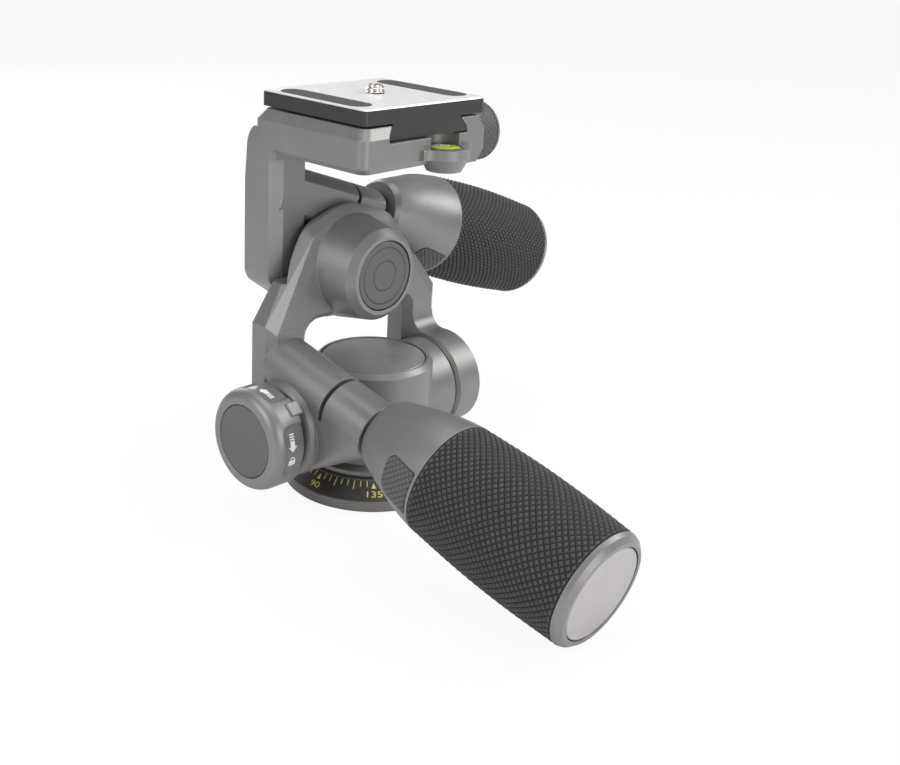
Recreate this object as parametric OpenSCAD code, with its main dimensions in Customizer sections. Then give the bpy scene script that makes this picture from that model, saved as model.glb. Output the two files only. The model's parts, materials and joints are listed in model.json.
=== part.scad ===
// Three way pan and tilt head for a tripod, with two clamp handles and a quick release plate.
// Origin: centre of the base's underside. +Z is the pan axis, X the tilt axis, Y the roll axis.
// The round cap of the roll boss faces -Y, the lower handle points to -Y and the upper one to +X.

/* [Base] */
// Diameter of the round base
base_d = 60; // [58:0.5:66]
// Height of the upright rim of the base
rim_h = 3.5; // [2.5:0.1:4.5]
// Height of the base under the pan bearing
base_h = 9.2; // [8.8:0.1:10.4]
// Diameter where the sloping scale ends at the housing
scale_top_d = 48; // [47:0.5:50]
// Thickness of the inlaid scale ring
scale_t = 0.8; // [0.6:0.1:1.2]
// Radius of the 3/8 inch tripod thread in the bush
tripod_thread_r = 4; // [3.9:0.05:4.8]
// Outer radius of the tripod bush
bush_r = 7; // [6.2:0.1:7.4]
// Depth of the tripod bush
bush_h = 8.2; // [6:0.1:8.4]
// Radius of the spindle's foot in the base
foot_r = 11.5; // [11:0.1:12.5]
// Thickness of the base's floor under the spindle
floor_t = 2.4; // [1.8:0.1:3]

/* [Pan] */
// Radius of the pan spindle
spindle_r = 8.5; // [7.5:0.1:9.5]
// Thickness of the pan bearing washer
pan_washer_t = 0.6; // [0.4:0.1:1]
// Outer radius of the pan bearing washer
pan_washer_r = 22; // [18:0.5:23]
// Radius of the pan housing
housing_r = 20.6; // [20:0.1:21.5]
// Radius of the housing's lower flange
flange_r = 23.6; // [22:0.1:24]
// Height of the housing's lower flange
flange_h = 3; // [2:0.1:4]
// Radius of the cap disc on the housing
cap_r = 17.9; // [16:0.1:18.5]
// Thickness of the cap disc
cap_t = 1.6; // [1:0.1:2]
// Radius of the spindle nut's thread
nut_thread_r = 5; // [4:0.1:5.6]
// Height of the spindle nut
nut_h = 3.6; // [3:0.1:4]

/* [Tilt] */
// Height of the tilt axis above the base
tilt_rise = 20.1; // [19.6:0.1:21]
// Height of the pan housing's top above the tilt axis
housing_rise = 16.1; // [15:0.1:18]
// Radius of the pivot bosses on the housing
boss_r = 16.5; // [15:0.1:17]
// Radius of the hollow tilt axle
axle_r = 9.5; // [8.5:0.1:10]
// Wall of the bush round an axle
axle_bush_t = 1.3; // [1:0.1:1.5]
// Radius of the tilt pin on the plain side
pin_r = 6; // [5:0.1:7]

/* [Yoke] */
// Height of the roll axis above the tilt axis
roll_rise = 45.5; // [44:0.5:48]
// Half width of the yoke over its legs
yoke_half_w = 40.2; // [39:0.1:42]
// Place of the yoke's front face behind the tilt axis
yoke_front = 8; // [7.5:0.1:9]
// Thickness of the yoke
yoke_t = 10; // [9:0.1:10.6]
// Height of the shoulders above the tilt axis
shoulder_rise = 33.2; // [31:0.1:35]
// Half width of the arch between the legs, on the handle side
arch_in_l = 22.6; // [21.5:0.1:23.5]
// Half width of the arch between the legs, on the plain side
arch_in_r = 24.6; // [23:0.1:25.2]
// Height of the arch above the tilt axis
arch_rise = 30.1; // [28:0.1:31]
// Corner radius of the arch
arch_corner_r = 6; // [3:0.5:8]
// Radius of the plain ear
ear_r = 17.2; // [16.8:0.1:18]
// Thickness of the plain ear
ear_t = 12.3; // [11:0.1:13]
// Radius of the clamp barrel
barrel_r = 16.2; // [15.6:0.1:17]
// How far the clamp barrel stands out past the leg
barrel_out = 3.3; // [2:0.1:4]
// Chamfer of the yoke's outer edge
yoke_chamfer = 3.2; // [1:0.1:3.4]
// How far the yoke's front leans back at the round hump
yoke_lean = 4.5; // [0:0.1:5]
// Radius of the round boss at the roll axis
roll_boss_r = 16; // [14.5:0.1:17]
// Radius round the roll axis past which the yoke's back edge slopes
hump_r = 22.2; // [21.6:0.1:22.4]
// How far the roll boss stands in front of the yoke
roll_boss_l = 12; // [9:0.5:14]
// Radius of the cap in the roll boss
roll_cap_r = 12; // [10.8:0.1:12.6]

/* [Bracket] */
// Gap between the yoke and the bracket's arm
arm_gap = 1.3; // [0.8:0.1:1.6]
// Depth of the bracket's arm
arm_t = 15.3; // [14.5:0.1:17]
// Width of the bracket's arm
arm_w = 14.1; // [12:0.1:15]
// Distance from the roll axis to the arm's outer face
arm_out = 30.5; // [29:0.1:32]
// Height of the platform's top above the roll axis
table_rise = 55; // [54:0.1:58]
// Thickness of the platform
table_t = 14; // [13:0.1:15]
// Distance from the roll axis to the platform's front face
table_front = 22.6; // [20:0.1:24]
// Distance from the roll axis to the platform's back face
table_back = 29; // [27:0.5:30]
// Distance from the roll axis to the platform's jaw side
table_side = 19.4; // [19.2:0.1:20.4]
// Radius of the bracket's lower end round the roll axis
arm_end_r = 20.5; // [17:0.1:21]
// Radius of the bubble level
level_r = 5.2; // [4:0.1:5.6]
// Radius of the lobe that carries the bubble level
lobe_r = 8.2; // [7.4:0.1:9]

/* [Plate] */
// Length of the quick release plate across the clamp
plate_l = 55.4; // [50:0.2:58]
// Width of the quick release plate along the clamp
plate_w = 48.4; // [42:0.2:52]
// Thickness of the plate's flange
plate_t = 5.2; // [4:0.1:6]
// Distance of the plate's centre behind the roll axis
plate_back = 4.2; // [3:0.1:5]
// Width of the dovetail under the plate
dovetail_w = 38; // [37:0.1:38.6]
// Height of the dovetail
dovetail_h = 5.3; // [4.6:0.1:5.6]
// Length of the rubber strips
strip_l = 38.6; // [30:0.1:42]
// Width of the rubber strips
strip_w = 9; // [6:0.1:10]
// Radius of the 1/4 inch camera screw
screw_r = 3.175; // [3:0.025:3.4]
// How far the camera screw stands above the plate
screw_out = 2.8; // [2:0.1:6]
// Gap between the platform and the plate's flange
plate_gap = 0.7; // [0.3:0.05:0.9]
// Gap under the dovetail
foot_gap = 0.5; // [0.2:0.05:0.8]

/* [Jaw] */
// Length of the sliding jaw
jaw_l = 41; // [36:0.5:44]
// Thickness of the sliding jaw
jaw_t = 8.4; // [7:0.1:10]
// How far the jaw opens
jaw_travel = 3; // [2:0.1:4]
// Radius of the jaw's clamp knob
clamp_knob_r = 10.8; // [9:0.1:11.5]
// Length of the jaw's clamp knob
clamp_knob_l = 21; // [16:0.1:23]

/* [Handles] */
// Droop of the lower handle in degrees
front_droop = 13.3; // [11:0.1:13.5]
// Height of the lower handle's clamp screw above the tilt axis
front_rise = 17.7; // [17.5:0.1:18.5]
// Distance from the tilt axis to the end of the lower clamp lug
front_reach = 36.6; // [35:0.1:40]
// Distance from the tilt axis to the slit in the lower clamp
front_slit = 19.5; // [19:0.1:21]
// Droop of the upper handle in degrees
rear_droop = 18.8; // [16:0.1:20]
// Height of the upper handle's clamp screw above the roll axis
rear_rise = 21.6; // [20.5:0.1:22.5]
// Distance from the roll axis to the end of the upper clamp lug
rear_reach = 23.3; // [22.5:0.1:26]
// Distance from the roll axis to the slit in the upper clamp
rear_slit = 9.5; // [8.5:0.1:10.5]
// Radius of the round clamp lugs
lug_r = 9.4; // [8.6:0.1:9.8]
// How far a lug's centre lies under its clamp screw
lug_drop = 2.2; // [1.2:0.1:2.6]
// How far below the clamp screw the lower slit turns inwards
kink_drop = 5.2; // [4.6:0.1:8]
// Width of the clamp slits
slit_w = 1.7; // [1.2:0.1:2.2]
// Radius of the clamp studs
stud_r = 4; // [3:0.1:4.4]
// Gap between a lug and the handle's collar
neck_gap = 2.4; // [1.5:0.1:3]
// Radius of the collar at its back
collar_r = 10.4; // [9.6:0.1:10.8]
// Length of the tapering collar
collar_l = 28.5; // [25:0.5:30]
// Radius of the grip
grip_r = 18.6; // [17:0.1:18.8]
// How far the grip swells in its middle
grip_swell = 1; // [0:0.1:1.4]
// Length of the rubber grip
grip_l = 55.4; // [45:0.2:56]
// Thickness of the grip's rubber
rubber_t = 3; // [2:0.1:4]
// Length of the end ring
end_l = 3.2; // [2.5:0.1:4]
// Radius of the end disc
disc_r = 15; // [12:0.1:16]

/* [Pan lock knob] */
// Radius of the pan lock knob
knob_r = 17; // [15:0.1:17.6]
// Length of the pan lock knob
knob_l = 11.9; // [10:0.1:14]
// Gap between the clamp barrel and the pan lock knob
knob_gap = 2; // [1.2:0.1:2.5]
// Radius of the disc in the pan lock knob
knob_cap_r = 11.9; // [10:0.1:12.6]
// Radius of the pan lock screw
lock_r = 4; // [3:0.1:4.2]

/* [Fits] */
// Running clearance of turning parts, on the radius
run_gap = 0.05; // [0.03:0.01:0.08]
// Seat clearance of fixed parts, on the radius
seat_gap = 0.05; // [0.03:0.01:0.08]
// Gap between faces that turn past each other
face_gap = 0.25; // [0.15:0.05:0.35]

/* [Hidden] */
$fn = 64;
cast = "#6b6b66";
dark = "#3a3b3d";
rubber = "#3f4044";
steel = "#b9babd";
pale = "#d8d2d2";
eps = 0.01;
hull_fn = 40;
base_r = base_d / 2;
scale_top_r = scale_top_d / 2;
housing_z = base_h + pan_washer_t + seat_gap;
tilt_z = base_h + tilt_rise;
housing_top = tilt_z + housing_rise;
housing_h = housing_top - housing_z;
roll_z = tilt_z + roll_rise;
nut_well_r = 14;
disc_washer_t = 1.4;
nut_seat_z = housing_top - cap_t - 0.2 - 1.9 - nut_h - disc_washer_t - 2 * seat_gap;
yoke_back = yoke_front + yoke_t;
leg_mid = (yoke_half_w + arch_in_l) / 2;
barrel_l_x = yoke_half_w + barrel_out;
barrel_in_x = arch_in_l + 2.4;
boss_x = barrel_in_x - face_gap * 3;
shoe_x = housing_r - 6.7;
ear_in_x = yoke_half_w - 1.5 - ear_t;
ear_out_x = yoke_half_w - 1.5;
boss_r_x = ear_in_x - face_gap * 4;
bush_out_r = axle_r + run_gap + axle_bush_t;
arm_front = yoke_back + arm_gap;
arm_back = arm_front + arm_t;
arm_mid = (arm_front + arm_back) / 2;
table_z = roll_z + table_rise;
table_bottom = table_z - table_t;
plate_z = table_z + plate_gap;
channel_z = plate_z - dovetail_h - foot_gap;
plate_top = plate_z + plate_t;
dove_half = dovetail_w / 2;
dove_lip = 1.4;
dove_slant = dovetail_h - dove_lip - 0.6;
lip_z = channel_z + foot_gap + dove_lip + 0.15;
clamp_gap = 0.12;
jaw_mid_y = plate_back - 3.7;
jaw_x = table_side + clamp_gap;
jaw_out_x = jaw_x + jaw_t;
jaw_screw_z = table_z - 10.2;
jaw_screw_r = 3;
knob_x = barrel_l_x + knob_gap;
knob_face_x = knob_x + knob_l;
level_x = 7.7;
level_y = -(table_front - 1.6);
level_z = table_z - 8.8;
level_well = 6;
cone_run = [base_r - scale_top_r, base_h - rim_h];

// Cylinder along +X between two places, centred on the tilt axis
module along_x(r, x0, x1, z = 0) {
    translate([x0, 0, tilt_z + z]) rotate([0, 90, 0]) cylinder(r = r, h = x1 - x0);
}

// Cylinder along +Y between two places, centred on the roll axis
module along_y(r, y0, y1) {
    translate([0, y1, roll_z]) rotate([90, 0, 0]) cylinder(r = r, h = y1 - y0);
}

// Frame of the lower handle: +Z runs out along its clamp screw
module front_frame() {
    translate([-leg_mid, 0, tilt_z + front_rise]) rotate([90 + front_droop, 0, 0]) children();
}

// Frame of the upper handle: +Z runs out along its clamp screw
module rear_frame() {
    translate([0, arm_mid, roll_z + rear_rise]) rotate([0, 90 + rear_droop, 0]) children();
}

module ring(r_out, r_in, h) {
    difference() {
        cylinder(r = r_out, h = h);
        translate([0, 0, -1]) cylinder(r = r_in, h = h + 2);
    }
}

// ---- base, on the tripod's side of the pan axis ----

function cone_point(t, inset) =
    let (n = [cone_run[1], cone_run[0]] / norm(cone_run))
    [base_r - cone_run[0] * t - n[0] * inset, rim_h + cone_run[1] * t - n[1] * inset];

module scale_band(grow) {
    rotate_extrude() polygon([cone_point(0.06, -grow), cone_point(0.97, -grow),
        cone_point(0.97, scale_t), cone_point(0.06, scale_t)]);
}

screw_ring_r = (bush_r + foot_r) / 2;

module base() {
    color(cast) difference() {
        rotate_extrude() polygon([[0, 0], [base_r - 0.6, 0], [base_r, 0.6], [base_r, rim_h],
            [scale_top_r, base_h], [0, base_h]]);
        scale_band(eps * 5);
        translate([0, 0, -1]) cylinder(r = bush_r + seat_gap, h = base_h + 2);
        translate([0, 0, floor_t]) cylinder(r = foot_r + seat_gap, h = base_h);
        for (a = [30, 150, 270]) rotate(a) translate([screw_ring_r, 0, -1]) {
            cylinder(r = 1.3, h = base_h);
            cylinder(r = 2.15, h = 2.5);
        }
    }
}

module scale_ring() {
    color(dark) scale_band(0);
}

module tripod_bush() {
    color(steel) ring(bush_r, tripod_thread_r, bush_h);
}

module base_screws() {
    color(steel) for (a = [30, 150, 270]) rotate(a) translate([screw_ring_r, 0, 0]) {
        translate([0, 0, 0.2]) cylinder(r = 2.05, h = 1.2);
        translate([0, 0, 1.2]) cylinder(r = 1.2, h = 5);
    }
}

module pan_spindle() {
    color(steel) difference() {
        union() {
            translate([0, 0, floor_t]) cylinder(r = foot_r, h = base_h - floor_t);
            translate([0, 0, base_h - eps]) cylinder(r = spindle_r, h = nut_seat_z - base_h + eps);
            translate([0, 0, nut_seat_z - eps]) cylinder(r = nut_thread_r, h = disc_washer_t + nut_h + 1);
        }
        translate([0, 0, floor_t - 1]) cylinder(r = bush_r + seat_gap, h = bush_h - floor_t + 1 + seat_gap);
        for (a = [30, 150, 270]) rotate(a) translate([screw_ring_r, 0, floor_t - 1])
            cylinder(r = 1.25, h = 5);
    }
}

module pan_washer() {
    color(pale) translate([0, 0, base_h]) ring(pan_washer_r, spindle_r + face_gap, pan_washer_t);
}

module disc_washer() {
    color(steel) translate([0, 0, nut_seat_z + seat_gap])
        ring(nut_well_r - 1.2, nut_thread_r + seat_gap, disc_washer_t);
}

module spindle_nut() {
    color(steel) translate([0, 0, nut_seat_z + disc_washer_t + 2 * seat_gap]) difference() {
        cylinder(r = nut_thread_r * 1.9, h = nut_h, $fn = 6);
        translate([0, 0, -1]) cylinder(r = nut_thread_r + seat_gap, h = nut_h + 2);
    }
}

// ---- pan housing, which carries the tilt pivots ----

module pan_housing() {
    color(cast) difference() {
        union() {
            translate([0, 0, housing_z]) rotate_extrude() polygon([[0, 0], [flange_r - 0.5, 0],
                [flange_r, 0.5], [flange_r, flange_h * 0.6], [housing_r, flange_h],
                [housing_r, housing_h - 1.6], [housing_r - 1.6, housing_h], [0, housing_h]]);
            along_x(boss_r, -boss_x, boss_r_x);
        }
        translate([0, 0, housing_z - 1]) cylinder(r = spindle_r + run_gap, h = housing_h);
        translate([0, 0, nut_seat_z - seat_gap]) cylinder(r = nut_well_r, h = housing_h);
        translate([0, 0, housing_top - cap_t - 0.2]) cylinder(r = cap_r + 0.35, h = housing_h);
        along_x(axle_r + seat_gap, -boss_x - 1, -(housing_r - 3.6));
        along_x(5 + seat_gap, -housing_r, 0);
        along_x(pin_r + seat_gap, spindle_r + 4, boss_r_x + 1);
    }
}

module housing_cap() {
    color(dark) translate([0, 0, housing_top - cap_t - 0.2]) rotate_extrude()
        polygon([[0, 0], [cap_r, 0], [cap_r, cap_t - 0.3], [cap_r - 0.3, cap_t], [0, cap_t]]);
}

module tilt_axle() {
    color(steel) difference() {
        along_x(axle_r, -barrel_l_x, -(housing_r - 3.6 + seat_gap));
        along_x(lock_r + run_gap, -barrel_l_x - 1, 0);
    }
}

module brake_shoe() {
    color("#a8743a") difference() {
        along_x(5, -shoe_x, -2);
        translate([0, 0, base_h]) cylinder(r = spindle_r + run_gap * 2, h = housing_h);
    }
}

module tilt_pin() {
    color(steel) difference() {
        along_x(pin_r, spindle_r + 4.1, ear_out_x - 4.6);
        along_x(2.55, ear_out_x - 16, ear_out_x);
    }
}

// ---- yoke, which tilts ----

// One slice of the yoke's outer outline, drawn in by s on every side, its hump set back by lean
module leg_end_slice(y, s, lean) {
    for (x = [-yoke_half_w + s, yoke_half_w - s - 4])
        translate([x, y - eps, tilt_z]) cube([4, eps, shoulder_rise - s - 1.3]);
    translate([0, y + lean, roll_z]) rotate([90, 0, 0])
        cylinder(r = roll_boss_r + 5.4 - s, h = eps, $fn = hull_fn);
    for (side = [-1, 1]) translate([side * roll_boss_r * 0.95, y + lean, roll_z + 8.5]) rotate([90, 0, 0])
        cylinder(r = 8.2 - s, h = eps, $fn = hull_fn);
}

module yoke_plate() {
    hull() {
        leg_end_slice(yoke_front + eps, yoke_chamfer, yoke_lean);
        leg_end_slice(yoke_front + yoke_chamfer * 0.78, 0, yoke_lean);
        leg_end_slice(yoke_back - 1, 0, 0);
        leg_end_slice(yoke_back, 1, 0);
    }
}

// The opening between the legs, grown by g on every side
module arch_shape(g) {
    top = arch_rise + g;
    difference() {
        translate([-arch_in_l - g, -40]) square([arch_in_l + arch_in_r + 2 * g, top + 40]);
        for (side = [-1, 1]) translate([side < 0 ? -arch_in_l - g : arch_in_r + g, top])
            difference() {
                translate([-arch_corner_r, -arch_corner_r]) square(2 * arch_corner_r);
                translate([-side * arch_corner_r, -arch_corner_r]) circle(r = arch_corner_r);
                translate([side < 0 ? arch_corner_r : -3 * arch_corner_r, -2 * arch_corner_r])
                    square([2 * arch_corner_r, 4 * arch_corner_r]);
                translate([-2 * arch_corner_r, -3 * arch_corner_r])
                    square([4 * arch_corner_r, 2 * arch_corner_r]);
            }
    }
}

arch_bevel = 2.8;

module arch_slice(y, g) {
    translate([0, y, tilt_z]) rotate([90, 0, 0]) linear_extrude(eps) arch_shape(g);
}

module arch_cut() {
    translate([0, yoke_back + 1, tilt_z]) rotate([90, 0, 0])
        linear_extrude(yoke_t + 2) arch_shape(0);
    hull() {
        arch_slice(yoke_front + arch_bevel, 0);
        arch_slice(yoke_front - eps, arch_bevel);
    }
}

// Concave fillet from a leg's front face to the round top of an ear
module leg_fillet(x0, x1, r) {
    rf = 6;
    cy = yoke_front - rf;
    cz = sqrt(pow(r + rf, 2) - cy * cy);
    k = r / (r + rf);
    translate([x0, 0, tilt_z]) rotate([90, 0, 90]) linear_extrude(x1 - x0) difference() {
        polygon([[cy * k, cz * k - 1], [yoke_front + 1, cz * k - 6], [yoke_front + 1, cz], [cy, cz]]);
        translate([cy, cz]) circle(r = rf);
    }
}

module clamp_ear() {
    hull() {
        front_frame() translate([0, -lug_drop, front_slit])
            cylinder(r = lug_r - 0.1, h = front_reach - front_slit - 0.8, $fn = hull_fn);
        translate([-barrel_l_x + 4, 0, tilt_z]) rotate([0, 90, 0])
            cylinder(r = barrel_r - 0.6, h = barrel_l_x - 4 - barrel_in_x - 2, $fn = hull_fn);
    }
}

module yoke() {
    tee_h = front_rise * sin(front_droop);
    tee_d = front_rise * cos(front_droop);
    kink_y = tee_d - kink_drop;
    kink_a = atan2(kink_y, front_slit - tee_h - slit_w / 2);
    kink_l = norm([kink_y, front_slit - tee_h - slit_w / 2]);
    color(cast) difference() {
        union() {
            difference() {
                yoke_plate();
                arch_cut();
            }
            // plain ear with a small edge chamfer
            translate([ear_in_x, 0, tilt_z]) rotate([0, 90, 0]) rotate_extrude()
                polygon([[0, 0], [ear_r - 1.2, 0], [ear_r, 1.2],
                    [ear_r, ear_t - 1], [ear_r - 1, ear_t], [0, ear_t]]);
            leg_fillet(ear_in_x + 1.2, ear_out_x - 1, ear_r);
            // clamp barrel
            translate([-barrel_l_x, 0, tilt_z]) rotate([0, 90, 0]) rotate_extrude()
                polygon([[0, 0], [barrel_r - 3.2, 0], [barrel_r - 2, 0.4], [barrel_r - 1, 1.1],
                    [barrel_r - 0.3, 2.3], [barrel_r, barrel_out + 1],
                    [barrel_r, barrel_l_x - barrel_in_x - 0.6],
                    [barrel_r - 0.6, barrel_l_x - barrel_in_x], [0, barrel_l_x - barrel_in_x]]);
            front_frame() translate([0, -lug_drop, -11]) rotate_extrude()
                polygon([[0, 0], [lug_r, 0], [lug_r, front_reach + 10.6], [lug_r - 0.4, front_reach + 11],
                    [0, front_reach + 11]]);
            clamp_ear();
            // roll boss with its base ring
            translate([0, yoke_front, roll_z]) rotate([90, 0, 0]) rotate_extrude()
                polygon([[0, -yoke_t / 2], [roll_boss_r + 2.5, -yoke_t / 2],
                    [roll_boss_r, roll_boss_l - 2.6], [roll_boss_r - 2.4, roll_boss_l], [0, roll_boss_l]]);
        }
        // seats of the tilt bush, the roll axle and the cap
        along_x(bush_out_r + seat_gap, -barrel_l_x - 1, -barrel_in_x + 1);
        along_x(pin_r + 1.5 + run_gap + seat_gap, ear_in_x - 1, ear_out_x - 4.6);
        along_x(ear_r - 5.2, ear_out_x - 4.7, ear_out_x + 1);
        along_y(axle_r + seat_gap, yoke_front - roll_boss_l + 2.4, yoke_back + 1);
        along_y(roll_cap_r + 0.3, yoke_front - roll_boss_l - 1, yoke_front - roll_boss_l + 2.4);
        // room for the housing's pivot bosses
        along_x(boss_r + 2 * face_gap, -boss_x - 2 * face_gap, boss_r_x + 2 * face_gap);
        // sloped back edge of the hump, which the upper collar turns past
        translate([0, yoke_back, roll_z]) intersection() {
            rotate([90, 0, 0]) rotate_extrude() polygon([[hump_r, 0], [hump_r + 10, 8], [60, 8], [60, -2],
                [hump_r, -2]]);
            translate([-70, -20, -1]) cube([140, 40, 80]);
        }
        // clamp slit across the lug, then down to the bore
        front_frame() {
            translate([-30, -kink_drop - slit_w * 0.5, front_slit - slit_w])
                cube([60, kink_drop + lug_r + 9, slit_w]);
            translate([0, -tee_d, tee_h]) rotate([-kink_a, 0, 0])
                translate([-30, -slit_w / 2, 0]) cube([60, slit_w, kink_l]);
            translate([0, 0, -8]) cylinder(r = stud_r + run_gap, h = front_reach + 20);
        }
        // the arm of the bracket turns behind this plane
        translate([-60, yoke_back, tilt_z - 5]) cube([120, 20, 90]);
    }
}

module tilt_bush() {
    color(pale) difference() {
        along_x(bush_out_r, -barrel_l_x + 0.6, -barrel_in_x - 0.4);
        along_x(axle_r + run_gap, -barrel_l_x - 1, 0);
    }
}

module ear_bush() {
    color(pale) difference() {
        along_x(pin_r + 1.5, ear_in_x + 0.2, ear_out_x - 4.9);
        along_x(pin_r + run_gap, ear_in_x - 1, ear_out_x);
    }
}

module ear_washer() {
    color(steel) difference() {
        along_x(pin_r + 3.4, ear_out_x - 4.5, ear_out_x - 3.5);
        along_x(2.6, ear_out_x - 6, ear_out_x);
    }
}

module ear_screw() {
    color(steel) union() {
        along_x(2.5, ear_out_x - 14, ear_out_x - 3);
        along_x(4.6, ear_out_x - 3.45, ear_out_x - 1.6);
    }
}

module ear_cover() {
    color(dark) along_x(ear_r - 5.5, ear_out_x - 1.3, ear_out_x - 0.2);
}

module roll_axle() {
    color(steel) difference() {
        along_y(axle_r, yoke_front - roll_boss_l + 4, arm_back - 3.2);
        along_y(2.55, arm_back - 16, arm_back);
    }
}

module boss_cap() {
    color(dark) translate([0, yoke_front - roll_boss_l + 2.4, roll_z]) rotate([90, 0, 0]) rotate_extrude()
        polygon([[0, 0], [roll_cap_r, 0], [roll_cap_r, 1.9], [roll_cap_r - 0.3, 2.2], [0, 2.2]]);
}

module roll_washer() {
    color(steel) difference() {
        along_y(axle_r + 3, arm_back - 3.15, arm_back - 2);
        along_y(2.6, arm_back - 6, arm_back);
    }
}

module roll_screw() {
    color(steel) union() {
        along_y(2.5, arm_back - 14, arm_back - 1.5);
        along_y(4.8, arm_back - 1.95, arm_back - 0.3);
    }
}

// ---- pan lock knob ----

window_half = 29;

// Shallow pockets round the knob's rim, open at the back
module knob_pockets() {
    depth = 0.8;
    for (turn = [0, 90, 180, 270]) translate([-knob_x, 0, tilt_z]) rotate([turn, 0, 0]) rotate([0, -90, 0])
        intersection() {
            translate([0, 0, -1]) ring(knob_r + 1, knob_r - depth, knob_l - 2.6);
            linear_extrude(knob_l) polygon([[0, 0], [2 * knob_r, -2 * knob_r * tan(window_half)],
                [2 * knob_r, 2 * knob_r * tan(window_half)]]);
        }
}

module pan_knob() {
    color(cast) difference() {
        translate([-knob_x, 0, tilt_z]) rotate([0, -90, 0]) rotate_extrude()
            polygon([[0, 0], [knob_r - 0.5, 0], [knob_r, 0.5], [knob_r, knob_l - 4],
                [knob_r - 0.5, knob_l - 2.2],
                [knob_r - 1.5, knob_l - 0.8], [knob_r - 3.2, knob_l], [0, knob_l]]);
        along_x(knob_r - 2.6, -knob_x - 5, -knob_x + 1);
        along_x(lock_r + seat_gap, -knob_face_x, 0);
        along_x(knob_cap_r + 0.3, -knob_face_x - 1, -knob_face_x + 1.6);
        knob_pockets();
    }
}

module pan_knob_cap() {
    color(dark) along_x(knob_cap_r, -knob_face_x + 0.2, -knob_face_x + 1.6);
}

module pan_lock_screw() {
    color(steel) along_x(lock_r, -knob_face_x + 1.8, -shoe_x - 0.1);
}

// ---- bracket, which rolls ----

arm_edge = 4.9;

module arm_slice(y, s) {
    translate([-arm_out + s, y - eps, roll_z + 4]) cube([arm_w - 2 * s, eps, table_rise - 10]);
    translate([-arm_out + 7, y, roll_z + 0.4]) rotate([90, 0, 0]) cylinder(r = 7 - s, h = eps, $fn = hull_fn);
    translate([0, y, roll_z]) rotate([90, 0, 0]) cylinder(r = arm_end_r - s, h = eps, $fn = hull_fn);
}

module arm_body() {
    difference() {
        hull() {
            arm_slice(arm_front + eps, 1.4);
            arm_slice(arm_front + 1.4, 0);
            arm_slice(arm_back - 1.4, 0);
            arm_slice(arm_back, 1.4);
        }
        // inner side of the arm above the clamp
        translate([-arm_out + arm_w, arm_front - 1, roll_z + arm_end_r * 0.7]) cube([60, arm_t + 2, 80]);
        // wide shallow chamfer along the outer front edge
        translate([0, 0, roll_z - arm_end_r - 1]) linear_extrude(table_bottom - roll_z + arm_end_r - 1)
            polygon([[-arm_out - 1, arm_front - 1], [-arm_out + arm_edge, arm_front - 1],
                [-arm_out + arm_edge, arm_front],
                [-arm_out, arm_front + 1.8], [-arm_out - 1, arm_front + 1.8]]);
    }
}

// One level of the platform, drawn in by s
module table_slice(z, s) {
    rc = 3;
    for (x = [-arm_out + s + rc, table_side - s - 1]) for (y = [-table_front + s + rc, table_back - s - rc])
        translate([x, y, z]) cylinder(r = x < 0 ? rc : 1, h = eps, $fn = 24);
}

module table_body() {
    hull() {
        table_slice(table_bottom, 1.6);
        table_slice(table_bottom + 1.9, 0);
        table_slice(table_z - 3.3, 0);
        table_slice(table_z - eps, 2.2);
    }
}

// Outline of the bracket's arm seen from the side, with the swept back edge
module side_profile() {
    sweep_r = 9;
    top_y = arm_back - 2.3 - sweep_r;
    translate([-arm_out - 1, 0, 0]) rotate([90, 0, 90]) linear_extrude(100)
        polygon(concat([[-60, 0], [arm_back, 0], [arm_back, roll_z + 14]],
            [for (a = [0:10:90]) [top_y + sweep_r * cos(a), table_z - 4 - sweep_r + sweep_r * sin(a)]],
            [[-60, table_z - 4]]));
}

// Dovetail groove and jaw side of the platform
module channel() {
    translate([0, 60, 0]) rotate([90, 0, 0]) linear_extrude(120)
        polygon([[-dove_half - clamp_gap, channel_z], [-dove_half - clamp_gap, lip_z],
            [-dove_half + dove_slant - clamp_gap, lip_z + dove_slant],
            [-dove_half + dove_slant - clamp_gap, table_z + 1], [60, table_z + 1], [60, channel_z]]);
}

// Plan of the level's lobe with the fillets that join it to the platform
module lobe_shape() {
    fillet_r = 5;
    dy = -table_front - fillet_r;
    dx = sqrt(pow(lobe_r + fillet_r, 2) - pow(dy - level_y, 2));
    translate([level_x, level_y]) circle(r = lobe_r);
    difference() {
        polygon([[level_x, level_y], [level_x - dx, dy], [level_x - dx, 1 - table_front],
            [level_x + dx, 1 - table_front], [level_x + dx, dy]]);
        for (side = [-1, 1]) translate([level_x + side * dx, dy]) circle(r = fillet_r);
    }
}

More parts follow.
